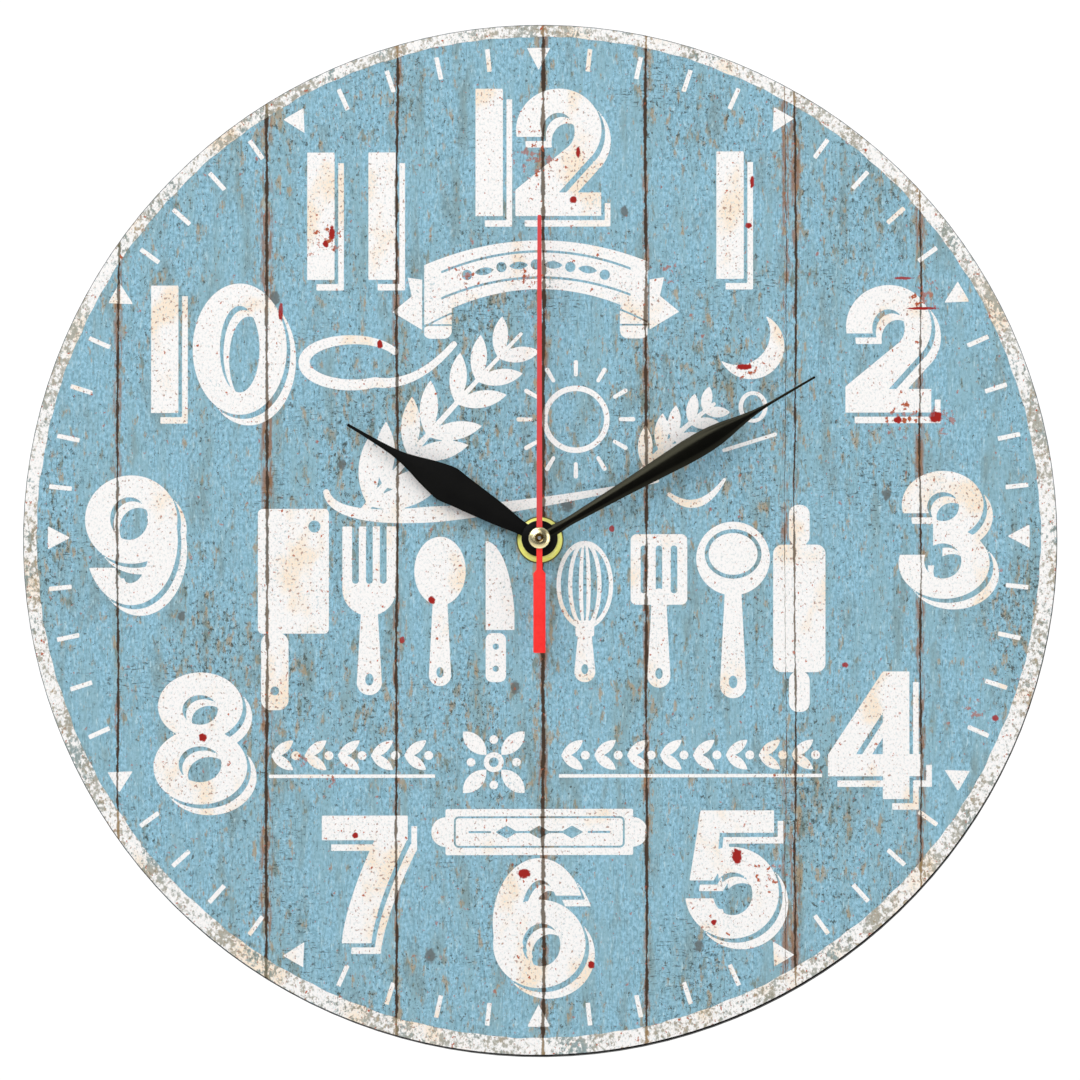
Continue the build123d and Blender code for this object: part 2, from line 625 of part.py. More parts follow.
# ---------------------------------------------------------------- circuit board and battery contacts
BOARD_X = (10.5, 21.5)
BOARD_Z = (16.0, 26.0)
with BuildPart() as circuit_board:
    extrude(panel(BOARD_BACK_H, BOARD_X[0], BOARD_X[1], BOARD_Z[0], BOARD_Z[1]), amount=BOARD_THICK)
    for board_pin in BOARD_PINS:
        extrude(disc(BOARD_BACK_H, 0.52, board_pin), amount=BOARD_THICK, mode=Mode.SUBTRACT)

BLOB_R = 2.0
BLOB_RISE = 0.9
BLOB_AT = (17.8, 22.6)
with BuildPart() as chip_blob:
    # a round-edged drop of resin on the back of the board
    extrude(disc(BOARD_BACK_H - BLOB_RISE, BLOB_R, BLOB_AT), amount=BLOB_RISE)
    fillet(chip_blob.edges().filter_by(GeomType.CIRCLE).sort_by(Axis.Y)[-1], radius=0.8)

CAN_R = 1.0
CAN_LENGTH = 5.6
with BuildPart() as quartz_crystal:
    with BuildSketch(Plane(origin=(11.2, -(BOARD_BACK_H - CAN_R), 18.4), x_dir=(0, 1, 0), z_dir=(1, 0, 0))):
        Circle(CAN_R)
    extrude(amount=CAN_LENGTH)
    fillet(quartz_crystal.edges().filter_by(GeomType.CIRCLE), radius=0.25)

SHEET_T = 0.3
CONTACT_GAP = 0.1
PLATE_LOW_Z = -25.0
PLATE_HIGH_Z = -13.0
CONTACT_BACK = 2.0
CONTACT_DEPTH = 11.0
PAD_BACK = 5.0
PAD_DEPTH = 5.0
PAD_HALF = 2.5
POSITIVE_LEAD_TOP = 21.7
BOARD_LAP_X = 20.2
LAP_W = 1.2
lap_back = BOARD_BACK_H - SHEET_T
strip_outer = inner - CONTACT_GAP
strip_inner = strip_outer - SHEET_T
cell_nub_x = 25.3
with BuildPart() as positive_contact:
    # plate in the battery bay with a raised pad, then a lead up the side wall to the board
    extrude(panel(CONTACT_BACK, strip_inner, strip_outer, PLATE_LOW_Z, PLATE_HIGH_Z), amount=CONTACT_DEPTH)
    extrude(panel(PAD_BACK, cell_nub_x + 0.02, strip_inner, CELL_Z - PAD_HALF, CELL_Z + PAD_HALF),
            amount=PAD_DEPTH)
    extrude(panel(LEAD_H, strip_inner, strip_outer, PLATE_HIGH_Z, POSITIVE_LEAD_TOP), amount=LEAD_W)
    extrude(panel(lap_back, BOARD_LAP_X, strip_inner, POSITIVE_LEAD_TOP - LAP_W, POSITIVE_LEAD_TOP),
            amount=SHEET_T)

NEGATIVE_END_X = -24.9
NEGATIVE_LEAD_TOP = 18.0
NEGATIVE_LEAD_X = 22.3
with BuildPart() as negative_contact:
    # plate, the leaf that springs out of it against the cell, and a lead along the divider to the board
    extrude(panel(CONTACT_BACK, -strip_outer, -strip_inner, PLATE_LOW_Z, PLATE_HIGH_Z), amount=CONTACT_DEPTH)
    with BuildSketch(face(4.5)):
        with BuildLine():
            Polyline((-strip_inner, CELL_Z - 5.0), (NEGATIVE_END_X - 0.02, CELL_Z - 0.6),
                     (NEGATIVE_END_X - 0.02, CELL_Z + 0.6), (-strip_inner - 0.15, CELL_Z + 4.4),
                     (-strip_inner - 0.15, CELL_Z + 4.0), (NEGATIVE_END_X - 0.32, CELL_Z + 0.4),
                     (NEGATIVE_END_X - 0.32, CELL_Z - 0.4), (-strip_inner, CELL_Z - 4.4), close=True)
        make_face()
    extrude(amount=6.0)
    lead_top = DIVIDER_Z + SHEET_T
    lead_inner_x = NEGATIVE_LEAD_X - SHEET_T
    extrude(panel(LEAD_H, -strip_outer, -strip_inner, PLATE_HIGH_Z, lead_top), amount=LEAD_W)
    extrude(panel(LEAD_H, -strip_inner, NEGATIVE_LEAD_X, DIVIDER_Z, lead_top), amount=LEAD_W)
    extrude(panel(LEAD_H, lead_inner_x, NEGATIVE_LEAD_X, DIVIDER_Z, NEGATIVE_LEAD_TOP), amount=LEAD_W)
    extrude(panel(lap_back, BOARD_LAP_X, lead_inner_x, NEGATIVE_LEAD_TOP - LAP_W, NEGATIVE_LEAD_TOP),
            amount=SHEET_T)

# ---------------------------------------------------------------- battery
CELL_X = (-24.9, 24.0)
NUB_R = 2.7
SLEEVE_END = 0.3
cell_end = Plane(origin=(CELL_X[0], -CELL_H, CELL_Z), x_dir=(0, 1, 0), z_dir=(1, 0, 0))
cell_length = CELL_X[1] - CELL_X[0]
with BuildPart() as battery_cell:
    with BuildSketch(cell_end):
        Circle(CELL_R)
    extrude(amount=cell_length)
    with BuildSketch(cell_end.offset(cell_length)):
        Circle(NUB_R)
    extrude(amount=cell_nub_x - CELL_X[1])

with BuildPart() as battery_sleeve:
    with BuildSketch(cell_end.offset(SLEEVE_END)):
        Circle(SLEEVE_R)
        Circle(CELL_R, mode=Mode.SUBTRACT)
    extrude(amount=cell_length - 2 * SLEEVE_END)

# ---------------------------------------------------------------- hands
# half profiles: (distance from the axis, half width)
HOUR_BLADE = [(0.0, 1.8), (6.4, 2.05), (18.0, 3.9), (31.6, 5.35), (34.2, 4.8), (43.5, 2.3), (49.5, 1.05),
              (HOUR_LENGTH, 0.42)]
MINUTE_BLADE = [(0.0, 1.7), (8.7, 1.4), (29.6, 2.25), (52.0, 3.5), (59.7, 3.15), (68.0, 1.6), (75.0, 0.5),
                (MINUTE_LENGTH, 0.24)]
HOUR_COLLAR_BACK = 26.0
HAND_BORE_DEPTH = 2.0
with BuildPart() as hour_hand:
    extrude(outline_face(HOUR_HAND_BACK, HOUR_BLADE, HOUR_DIRECTION), amount=HAND_T + RIDGE_T)
    extrude(disc(HOUR_HAND_BACK, HUB_R - 0.15), amount=HAND_T)
    extrude(disc(HOUR_COLLAR_BACK, HOUR_TUBE_R + 0.7), amount=HOUR_HAND_BACK - HOUR_COLLAR_BACK)
    extrude(disc(HOUR_COLLAR_BACK, HOUR_TUBE_R), amount=HAND_BORE_DEPTH, mode=Mode.SUBTRACT)

with BuildPart() as minute_hand:
    extrude(outline_face(MINUTE_HAND_BACK, MINUTE_BLADE, MINUTE_DIRECTION), amount=HAND_T + RIDGE_T)
    extrude(disc(MINUTE_HAND_BACK, HUB_R), amount=HAND_T)
    extrude(disc(MINUTE_HAND_BACK, MINUTE_TUBE_R), amount=HAND_BORE_DEPTH, mode=Mode.SUBTRACT)

SECOND_T = 0.4
COUNTERWEIGHT_W = 3.6
BOSS_R = 3.15
BOSS_T = 1.0
SOCKET_R = 0.9
SOCKET_T = 1.1
SOCKET_LIP = 0.2
SECOND_HUB_R = 2.6
with BuildPart() as second_hand:
    second_blade = [(-SECOND_TAIL, COUNTERWEIGHT_W / 2), (-10.2, COUNTERWEIGHT_W / 2), (-9.3, 0.9),
                    (0.0, 0.9), (SECOND_LENGTH, 0.6)]
    extrude(outline_face(SECOND_HAND_BACK, second_blade, SECOND_DIRECTION), amount=SECOND_T)
    extrude(disc(SECOND_HAND_BACK, SECOND_HUB_R), amount=SECOND_T)
    extrude(disc(SECOND_HAND_BACK, SOCKET_R), amount=SECOND_T, mode=Mode.SUBTRACT)

boss_back = SECOND_HAND_BACK + SECOND_T
socket_back = SECOND_HAND_BACK - SOCKET_LIP
with BuildPart() as second_hand_boss:
    # domed cap with a small dimple, and the socket that presses on to the arbor
    with BuildSketch(Plane.XY):
        with BuildLine():
            Polyline((0, -socket_back), (SOCKET_R, -socket_back), (SOCKET_R, -boss_back),
                     (BOSS_R, -boss_back), (BOSS_R, -boss_back - 0.35))
            ThreePointArc((BOSS_R, -boss_back - 0.35), (BOSS_R * 0.76, -boss_back - 0.82),
                          (1.3, -boss_back - BOSS_T))
            Polyline((1.3, -boss_back - BOSS_T), (0.9, -boss_back - 0.75), (0, -boss_back - 0.75),
                     (0, -socket_back))
        make_face()
    revolve(axis=Axis.Y)
    extrude(disc(socket_back, ARBOR_R), amount=SOCKET_T, mode=Mode.SUBTRACT)

# ---------------------------------------------------------------- labels and files
pieces = {
    "dial_board": dial_board,
    "dial_print": dial_print,
    "hanger_plate": hanger_plate,
    "rubber_washer": rubber_washer,
    "brass_washer": brass_washer,
    "brass_nut": brass_nut,
    "threaded_stem": threaded_stem,
    "movement_case": movement_case,
    "rear_cover": rear_cover,
    "middle_plate": middle_plate,
    "stator": stator,
    "coil_core": coil_core,
    "coil_bobbin": coil_bobbin,
    "coil_winding": coil_winding,
    "rotor_pinion": rotor_pinion,
    "rotor_magnet": rotor_magnet,
    "fifth_wheel": fifth_wheel,
    "seconds_arbor": seconds_arbor,
    "seconds_wheel": seconds_wheel,
    "third_wheel": third_wheel,
    "centre_wheel": centre_wheel,
    "clutch_spring": clutch_spring,
    "cannon_pinion": cannon_pinion,
    "motion_wheel": motion_wheel,
    "hour_wheel": hour_wheel,
    "setting_gear": setting_gear,
    "setting_knob": setting_knob,
    "circuit_board": circuit_board,
    "chip_blob": chip_blob,
    "quartz_crystal": quartz_crystal,
    "positive_contact": positive_contact,
    "negative_contact": negative_contact,
    "battery_cell": battery_cell,
    "battery_sleeve": battery_sleeve,
    "hour_hand": hour_hand,
    "minute_hand": minute_hand,
    "second_hand": second_hand,
    "second_hand_boss": second_hand_boss,
}

os.makedirs("parts", exist_ok=True)
for node, piece in pieces.items():
    piece.part.label = node
    export_step(piece.part, f"parts/{node}.step")
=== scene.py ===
"""Looks of a round wall clock: a printed painted-plank face, pressed hands and a battery movement.

Lengths inside the drawing functions are millimetres on the face, x to the right and z up from the hands'
axis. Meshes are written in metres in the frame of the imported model, where the face looks along -Y.
"""

from math import cos, hypot, pi, radians, sin

import bpy
import numpy as np
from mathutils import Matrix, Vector


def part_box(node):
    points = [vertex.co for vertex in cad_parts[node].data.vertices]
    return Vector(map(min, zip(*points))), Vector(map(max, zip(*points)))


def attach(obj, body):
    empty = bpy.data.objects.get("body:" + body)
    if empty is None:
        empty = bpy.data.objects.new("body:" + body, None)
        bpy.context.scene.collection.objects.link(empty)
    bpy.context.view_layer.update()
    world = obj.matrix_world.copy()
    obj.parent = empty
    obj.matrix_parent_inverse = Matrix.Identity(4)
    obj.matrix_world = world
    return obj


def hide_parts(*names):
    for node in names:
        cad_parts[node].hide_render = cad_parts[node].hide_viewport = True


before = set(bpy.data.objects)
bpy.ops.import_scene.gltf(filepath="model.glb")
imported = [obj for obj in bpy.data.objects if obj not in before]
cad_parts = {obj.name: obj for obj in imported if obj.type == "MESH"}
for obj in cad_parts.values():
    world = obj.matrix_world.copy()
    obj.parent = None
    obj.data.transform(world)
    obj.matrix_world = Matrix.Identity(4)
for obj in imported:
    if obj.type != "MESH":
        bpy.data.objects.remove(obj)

bl_info = {
    "name": "Plank wall clock",
    "version": (1, 0, 0),
    "blender": (4, 5, 0),
    "location": "View3D > Sidebar > Plank clock",
    "description": "Prints the face, presses the hands and finishes every part of a round wall clock",
    "category": "Add Mesh",
}

MM = 0.001
BODY = "clock_body"
BOARD_R = 0.5 * (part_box("dial_board")[1][0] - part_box("dial_board")[0][0]) / MM
FACE_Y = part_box("dial_print")[0][1]
# the print stands a little off the board's middle, and ends in a circle
PRINT_CENTRE = (-0.4, 0.9)
PRINT_R = 150.5
# circles of the print: the white band's inner side, and the inner and outer ends of the marks
BAND_R = 145.6
MINUTE_MARKS = (136.2, 142.8)
HOUR_MARKS = (135.9, 142.4)
# each gap between planks: its place, its half width and how far its stain reaches
PLANK_GAPS = ((-122.4, 0.60, 1.0), (-79.3, 0.80, 1.5), (-41.5, 0.70, 1.0), (0.9, 0.95, 1.25),
              (30.8, 0.75, 0.8), (74.0, 0.55, 1.2), (71.2, 0.16, 0.9), (110.3, 0.55, 1.1))
# each knot: its middle and its half width
KNOTS = ((-7.2, -42.8, 1.5), (7.9, 10.8, 2.0), (-31.8, -120.8, 1.7), (81.5, -13.0, 1.4),
         (-77.0, 70.5, 1.6), (24.5, 95.5, 1.3), (-57.5, 22.0, 1.2), (100.5, 13.0, 1.3),
         (-104.0, -22.0, 1.2), (46.0, -118.0, 1.4))
# each place where rust spots are thick: its middle and its reach
RUST_CLUSTERS = ((-61.1, 88.5, 7.0), (60.7, 49.4, 5.0), (117.2, 34.9, 5.5), (57.2, -92.1, 3.2),
                 (-1.5, 111.0, 9.0), (105.0, 36.0, 8.0), (66.0, -98.0, 5.0), (126.0, -50.0, 4.0),
                 (-22.0, 77.0, 5.0), (-4.0, 76.0, 5.0), (112.0, 71.0, 7.0), (-60.0, -70.0, 3.0),
                 (38.0, 78.0, 5.0), (-70.0, -64.0, 4.0))
# each rust drop: its middle, its half width and how tall it is for its width
RUST_DROPS = ((57.1, -92.1, 1.35, 1.7), (50.4, -111.2, 0.8, 1.0), (114.8, 35.6, 1.8, 0.9),
              (103.8, 34.8, 1.1, 1.0), (-60.4, 89.4, 0.8, 2.6), (-62.2, 86.2, 0.8, 1.2),
              (9.7, 99.0, 1.0, 1.0), (11.0, 112.9, 0.6, 2.6), (-97.8, -57.3, 1.1, 1.1),
              (-4.6, -96.9, 1.9, 0.7), (14.8, -123.5, 0.9, 1.2), (-53.6, -85.8, 0.9, 0.9),
              (-75.2, 66.6, 0.7, 4.0), (111.0, 67.2, 4.5, 0.09), (59.2, 50.2, 2.4, 0.35),
              (-31.4, -17.4, 1.0, 1.1), (105.4, 76.0, 2.6, 0.16), (61.6, 104.0, 0.6, 3.0),
              (60.5, 91.4, 0.9, 1.0), (-40.0, -29.0, 0.8, 1.2), (-46.5, 57.0, 0.8, 1.6),
              (88.5, -36.5, 0.9, 0.8), (20.8, 3.2, 0.8, 1.2), (132.0, -52.0, 1.0, 0.9))


# ---------------------------------------------------------------- fields: negative inside a shape, in mm
def join(*fields):
    """All the shapes together."""
    return np.minimum.reduce(fields)


def common(*fields):
    """What all the shapes share."""
    return np.maximum.reduce(fields)


def less(shape, *holes):
    """The shape without the holes."""
    return common(shape, -join(*holes))


def bar(x, z, left, right, bottom, top):
    """Rectangle: the largest of the four distances outside its sides."""
    return common(left - x, x - right, bottom - z, z - top)


def pill(x, z, centre, half_x, half_z, corner):
    """Rounded rectangle: distance to a smaller rectangle, less the corner radius."""
    out_x = np.abs(x - centre[0]) - half_x + corner
    out_z = np.abs(z - centre[1]) - half_z + corner
    outside = np.hypot(np.maximum(out_x, 0), np.maximum(out_z, 0))
    return outside + np.minimum(np.maximum(out_x, out_z), 0) - corner


def oval(x, z, centre, half_x, half_z):
    """Ellipse: its own equation, divided by that equation's steepness so that it reads as a distance."""
    u = (x - centre[0]) / half_x
    v = (z - centre[1]) / half_z
    level = np.hypot(u, v) + 1e-9
    return level * (level - 1) / (np.hypot(u / half_x, v / half_z) + 1e-9)


def bowl(x, z, outer, inner):
    """An oval without the oval inside it; each is given as its middle and its half widths."""
    return less(oval(x, z, outer[:2], *outer[2:]), oval(x, z, inner[:2], *inner[2:]))


def hoop(x, z, centre, half_x, half_z, side, cap):
    """Oval ring, with one stroke width at the sides and another at the caps."""
    return bowl(x, z, (*centre, half_x, half_z), (*centre, half_x - side, half_z - cap))


def stroke(x, z, start, end, start_r, end_r):
    """Straight stroke with round ends: distance to the segment, less a half width that changes evenly."""
    run_x, run_z = end[0] - start[0], end[1] - start[1]
    share = np.clip(((x - start[0]) * run_x + (z - start[1]) * run_z) / (run_x ** 2 + run_z ** 2), 0, 1)
    away = np.hypot(x - start[0] - share * run_x, z - start[1] - share * run_z)
    return away - start_r - (end_r - start_r) * share


def chain(x, z, points, radii):
    """Curved stroke: the nearest of the straight strokes between its points."""
    return join(*[stroke(x, z, *points[i:i + 2], *radii[i:i + 2]) for i in range(len(points) - 1)])


def polygon(x, z, corners):
    """Polygon: distance to the nearest side; its sign is from how many sides lie to the point's right."""
    nearest = np.full(np.shape(x), np.inf)
    inside = np.zeros(np.shape(x), bool)
    for (ax, az), (bx, bz) in zip(corners, corners[1:] + corners[:1]):
        nearest = np.minimum(nearest, stroke(x, z, (ax, az), (bx, bz), 0, 0))
        if az != bz:
            inside ^= ((az > z) != (bz > z)) & (x < (bx - ax) * (z - az) / (bz - az) + ax)
    return np.where(inside, -nearest, nearest)


def leaf(x, z, start, end, half_width):
    """Leaf: what two equal circles share, where both pass through the leaf's two tips."""
    length = hypot(end[0] - start[0], end[1] - start[1])
    radius = (length ** 2 / 4 + half_width ** 2) / (2 * half_width)
    middle = ((start[0] + end[0]) / 2, (start[1] + end[1]) / 2)
    side = (-(end[1] - start[1]) / length, (end[0] - start[0]) / length)
    back = radius - half_width
    left = np.hypot(x - middle[0] - side[0] * back, z - middle[1] - side[1] * back)
    right = np.hypot(x - middle[0] + side[0] * back, z - middle[1] + side[1] * back)
    return np.maximum(left, right) - radius


# ---------------------------------------------------------------- numerals: heavy, about their own middle
HALF = 18.55
STEM = 7.95


def one(x, z):
    return bar(x, z, -STEM / 2, STEM / 2, -HALF, HALF)


def two(x, z):
    """A bowl down to its lower right, a slanted stroke from there, and the base bar."""
    kept = np.minimum(-0.403 * (x - 2.7) - 0.915 * (z - 1.45), 4.5 - z)
    top = common(bowl(x, z, (0.2, 6.5, 12.4, 12.05), (0.1, 6.0, 4.7, 5.5)), kept)
    slant = [(2.7, 1.45), (9.4, -1.5), (0.2, -11.7), (0.2, -13), (-12.4, -13), (-12.4, -10.95)]
    return join(top, polygon(x, z, slant), bar(x, z, -12.4, 12.5, -HALF, -11.7))


def three(x, z):
    """Two bowls, the lower one wider, open at the left, with a short bar between them."""
    left = -3.3 - x
    upper = common(bowl(x, z, (-0.5, 8.7, 11.85, 9.9), (-0.4, 8.2, 4.6, 4.2)), join(6.3 - z, left))
    lower = common(bowl(x, z, (-0.1, -8.2, 13.2, 10.4), (-0.5, -7.6, 5.4, 5.1)), join(z + 5.8, left))
    return join(upper, lower, bar(x, z, -3.3, 3.0, -2.2, 3.0))


def four(x, z):
    body = [(-13.7, -5.6), (2.2, HALF), (9.9, HALF), (9.9, -HALF), (2.2, -HALF), (2.2, -11.9), (-13.7, -11.9)]
    counter = polygon(x, z, [(-5.6, -5.5), (2.2, -5.5), (2.2, 6.6)])
    return join(less(polygon(x, z, body), counter), bar(x, z, 2.2, 13.7, -11.9, -5.5))


def five(x, z):
    """A top bar, a slanted stem and a bowl that is open at the left."""
    lower = common(bowl(x, z, (0.3, -5.4, 13.6, 13.3), (0.5, -5.7, 5.7, 6.2)), np.minimum(z + 7.0, -3.6 - x))
    stem = [(-8.8, HALF), (-2.7, HALF), (-3.9, 4.0), (-3.4, 1.0), (-5.0, -1.8), (-12.0, -1.8)]
    return join(bar(x, z, -8.75, 12.5, 12.0, HALF), polygon(x, z, stem), lower)


def six(x, z):
    """A closed bowl below, and the upper left of a tall one that ends in a level cut at the right."""
    tall = bowl(x, z, (0.0, 0, 13.5, 18.9), (0.3, 0, 5.8, 12.5))
    return join(bowl(x, z, (0, -6.0, 13.4, 12.85), (0.6, -6.3, 5.5, 6.2)),
                common(tall, np.minimum(x, 8.0 - z), -7.0 - z))


def seven(x, z):
    """A top bar, and a stem whose middle line bends towards upright as it goes down."""
    drop = np.clip((z + HALF) / 30, 0, 1.1)
    middle = -2.4 + 9.9 * drop ** 1.45
    stem = common(0.9 * (np.abs(x - middle) - 4.3 - 0.4 * drop), z - 11.6, -HALF - z)
    return join(bar(x, z, -12.5, 12.4, 11.4, HALF), stem)


def eight(x, z):
    both = join(oval(x, z, (0, 9.4), 12.3, 9.8), oval(x, z, (0, -8.2), 13.6, 11.0))
    return less(both, oval(x, z, (-0.1, 8.3), 5.1, 4.3), oval(x, z, (-0.1, -7.5), 6.2, 5.2))


def nine(x, z):
    return six(-x, -z)


def nought(x, z):
    return hoop(x, z, (0, 0), 13.65, 19.1, 7.9, 6.5)


# each numeral: (digit, its middle) pairs
NUMERALS = {
    1: ((one, 55.15, 94.45),),
    2: ((two, 101.0, 55.45),),
    3: ((three, 117.3, 1.3),),
    4: ((four, 97.2, -56.95),),
    5: ((five, 55.35, -97.25),),
    6: ((six, -0.2, -111.4),),
    7: ((seven, -50.75, -98.6),),
    8: ((eight, -98.5, -57.55),),
    9: ((nine, -118.6, 0.15),),
    10: ((one, -108.9, 55.7), (nought, -87.15, 55.7)),
    11: ((one, -63.6, 94.35), (one, -45.85, 94.35)),
    12: ((one, -14.75, 112.85), (two, 5.25, 112.85)),
}


def with_shadow(shape, shift, gap):
    """The shape, and a copy moved right and a little more down, less a copy moved by the gap alone."""
    down = 1.15

    def field(x, z):
        near = shape(x - gap, z + gap * down)
        far = shape(x - shift, z + shift * down)
        return join(shape(x, z), less(far, near))
    return field


# ---------------------------------------------------------------- kitchen tools, standing on their handles
TOOL_H = 50


def handle(x, z, top):
    """A handle that narrows upwards, with its hanging hole."""
    return less(stroke(x, z, (0, 3.7), (0, top), 3.7, 2.3), oval(x, z, (0, 4.6), 1.2, 1.8))


def slotted(x, z, head, spread, level, half_x, half_z, corner):
    """A head with three upright slots."""
    slots = [pill(x, z, (middle, level), half_x, half_z, corner) for middle in (-spread, 0, spread)]
    return less(head, *slots)


def fork(x, z):
    head = join(oval(x, z, (0, 31.5), 8.0, 8.0), bar(x, z, -8.0, 8.0, 31.5, TOOL_H))
    return join(handle(x, z, 28), slotted(x, z, head, 4.1, 43.0, 1.0, 10.0, 0.95))


def knife(x, z):
    steel = common(bar(x, z, -4.6, 5.6, 18.5, TOOL_H), oval(x, z, (-4.6, 18.5), 10.4, 31.5))
    rivets = [oval(x, z, (-1.0, level), 1.1, 1.1) for level in (4.8, 12.6)]
    return join(less(pill(x, z, (-1.0, 8.7), 3.6, 8.7, 2.4), *rivets), steel)


def turner(x, z):
    head = pill(x, z, (0, 38.5), 9.2, 11.5, 2.0)
    return join(handle(x, z, 30), slotted(x, z, head, 4.9, 38.5, 1.05, 7.8, 1.0))


def whisk(x, z):
    """Nested loops of wire, each a thin oval hoop that narrows to the ferrule."""
    loops = [hoop(x, z, (0, 34.4), half, 15.6, 1.5, 1.6) for half in (10.0, 5.9, 2.1)]
    return join(handle(x, z, 18), pill(x, z, (0, 19.0), 3.3, 2.8, 0.7), *loops)


def spoon(x, z):
    return join(handle(x, z, 31), oval(x, z, (0, 38.5), 8.6, 11.5))


def ladle(x, z):
    rim = hoop(x, z, (0, 40.8), 8.0, 7.0, 1.1, 1.1)
    return join(handle(x, z, 31), less(oval(x, z, (0, 39.5), 10.4, 10.4), rim))


def rolling_pin(x, z):
    grips = [pill(x, z, (0, level), 2.5, 4.9, 2.2) for level in (4.9, 45.1)]
    return join(pill(x, z, (0, 25), 6.3, 15.4, 2.2), *grips)


def cleaver(x, z):
    steel = less(pill(x, z, (0.4, 34.5), 8.8, 15.5, 1.2), oval(x, z, (5.6, 45.6), 1.5, 1.5))
    return join(less(pill(x, z, (-4.2, 9.6), 3.4, 9.6, 2.6), oval(x, z, (-4.2, 4.8), 1.1, 1.1)), steel)


# the row of tools: its half length, its foot and top in the middle, and how far both spread at its ends
ROW_HALF = 83
ROW_FOOT, FOOT_SPREAD = -41.1, 11.0
ROW_TOP, TOP_SPREAD = -0.6, 13.0
# each tool and where it stands along the row
TOOLS = ((cleaver, -72.0), (fork, -49.5), (spoon, -29.0), (knife, -12.0), (whisk, 13.0), (turner, 34.5),
         (ladle, 56.0), (rolling_pin, 75.2))


def tool_in_row(shape, middle):
    """A tool scaled to the row, which is taller at its ends than in its middle, by the distance squared."""
    bend = (middle / ROW_HALF) ** 2
    foot = ROW_FOOT - FOOT_SPREAD * bend
    scale = (TOP_SPREAD * bend - foot + ROW_TOP) / TOOL_H

    def field(x, z):
        return scale * shape((x - middle) / scale, (z - foot) / scale)
    return field


# ---------------------------------------------------------------- ornaments in the middle of the face
RIBBON_HALF = 33


def arch(x, level, rise):
    """Height of an arched line: a parabola, at its level in the middle and lower by the rise at the ends."""
    return level - rise * (x / RIBBON_HALF) ** 2


def ribbon(x, z):
    """An arched band, a folded end below each side of it, and a forked tail behind that."""
    across = np.abs(x + 1.2)
    end = across - 32.4
    band = common(0.95 * (z - arch(x, 87.2, 6.9)), 0.95 * (arch(x, 73.0, 9.2) - z), end)
    fold = common(pill(across, z, (28.6, 64.0), 4.2, 5.4, 2.4), end)
    tail = [(33.0, 75.8), (37.2, 76.4), (36.0, 71.0), (41.6, 66.4), (33.0, 61.2), (30.2, 60.2), (33.0, 66.5)]
    seam = np.abs(across - 32.7) - 0.3
    under_band = 0.95 * (np.abs(z - arch(x, 71.6, 9.2)) - 0.28)
    crease = join(under_band, pill(across, z, (28.6, 62.6), 4.4, 0.25, 0.2))
    cuts = [seam, common(crease, end, 24.4 - across)]
    for middle in (-20, -10, 0, 10, 20):
        cuts.append(oval(x, z, (middle - 1.2, arch(middle, 80.2, 8.2)), 1.5, 1.5))
    cuts += [common(np.abs(z - arch(x, level, 8.0)) - 0.35, across - 27.5) for level in (84.0, 76.4)]
    for middle in (-15, -5, 5, 15):
        tips = [(middle + ahead, arch(middle + lift, 80.2, 8.2)) for ahead, lift in ((-4.0, -3), (1.6, 1))]
        cuts.append(leaf(x, z, *tips, 1.1))
    return less(join(band, fold, polygon(across, z, tail)), *cuts)


def curve_points(start, pull, end, count=18):
    """Points of a three-point curve: each is a weighted mean, with weights (1-t)^2, 2t(1-t) and t^2."""
    t = np.linspace(0, 1, count)[:, None]
    return (1 - t) ** 2 * np.array(start) + 2 * t * (1 - t) * np.array(pull) + t ** 2 * np.array(end)


def herb_sprig(x, z, start, pull, end, leaves, length, half_width, lean):
    """A curved stem with pairs of leaves that lean from it and get shorter towards its tip."""
    stem = curve_points(start, pull, end)
    parts = [chain(x, z, stem, np.linspace(1.15, 0.5, len(stem)))]
    for share in np.linspace(0.08, 0.94, leaves):
        root = stem[int(share * (len(stem) - 1))]
        ahead = stem[min(int(share * (len(stem) - 1)) + 1, len(stem) - 1)] - root
        bearing = np.arctan2(ahead[1], ahead[0]) if np.any(ahead) else bearing
        size = length * (1 - 0.45 * share)
        for side in (-1, 1):
            angle = bearing + side * radians(lean)
            tip = (root[0] + size * cos(angle), root[1] + size * sin(angle))
            parts.append(leaf(x, z, tuple(root), tip, half_width * (1 - 0.3 * share)))
    return join(*parts)


def big_sprig(x, z):
    return herb_sprig(x, z, (-52.0, 7.5), (-34.0, 30.0), (-5.5, 60.0), 7, 21.0, 3.1, 38)


def small_sprig(x, z):
    return herb_sprig(x, z, (29.5, 19.5), (38.0, 30.0), (50.5, 39.5), 5, 13.0, 2.2, 40)


def swash(x, z):
    """A thin hook that hangs below the small sprig."""
    points = curve_points((37.5, 13.2), (46.0, 6.0), (53.5, 17.5), 14)
    return chain(x, z, points, 0.45 + 0.75 * np.sin(np.linspace(0.2, pi, 14)))


def lead_in(x, z):
    """A long stroke that opens from a loop at the far left and ends under the ribbon."""
    turn = np.linspace(radians(28), radians(298), 26)
    loop = np.stack([-54.5 + 14.0 * np.cos(turn), 51.8 + 6.6 * np.sin(turn)], -1)
    tail = curve_points(loop[-1], (-36.0, 44.2), (-25.0, 57.0), 12)
    points = np.concatenate([loop, tail[1:]])
    return chain(x, z, points, 0.9 + 0.75 * np.sin(np.linspace(0.1, pi, len(points))))


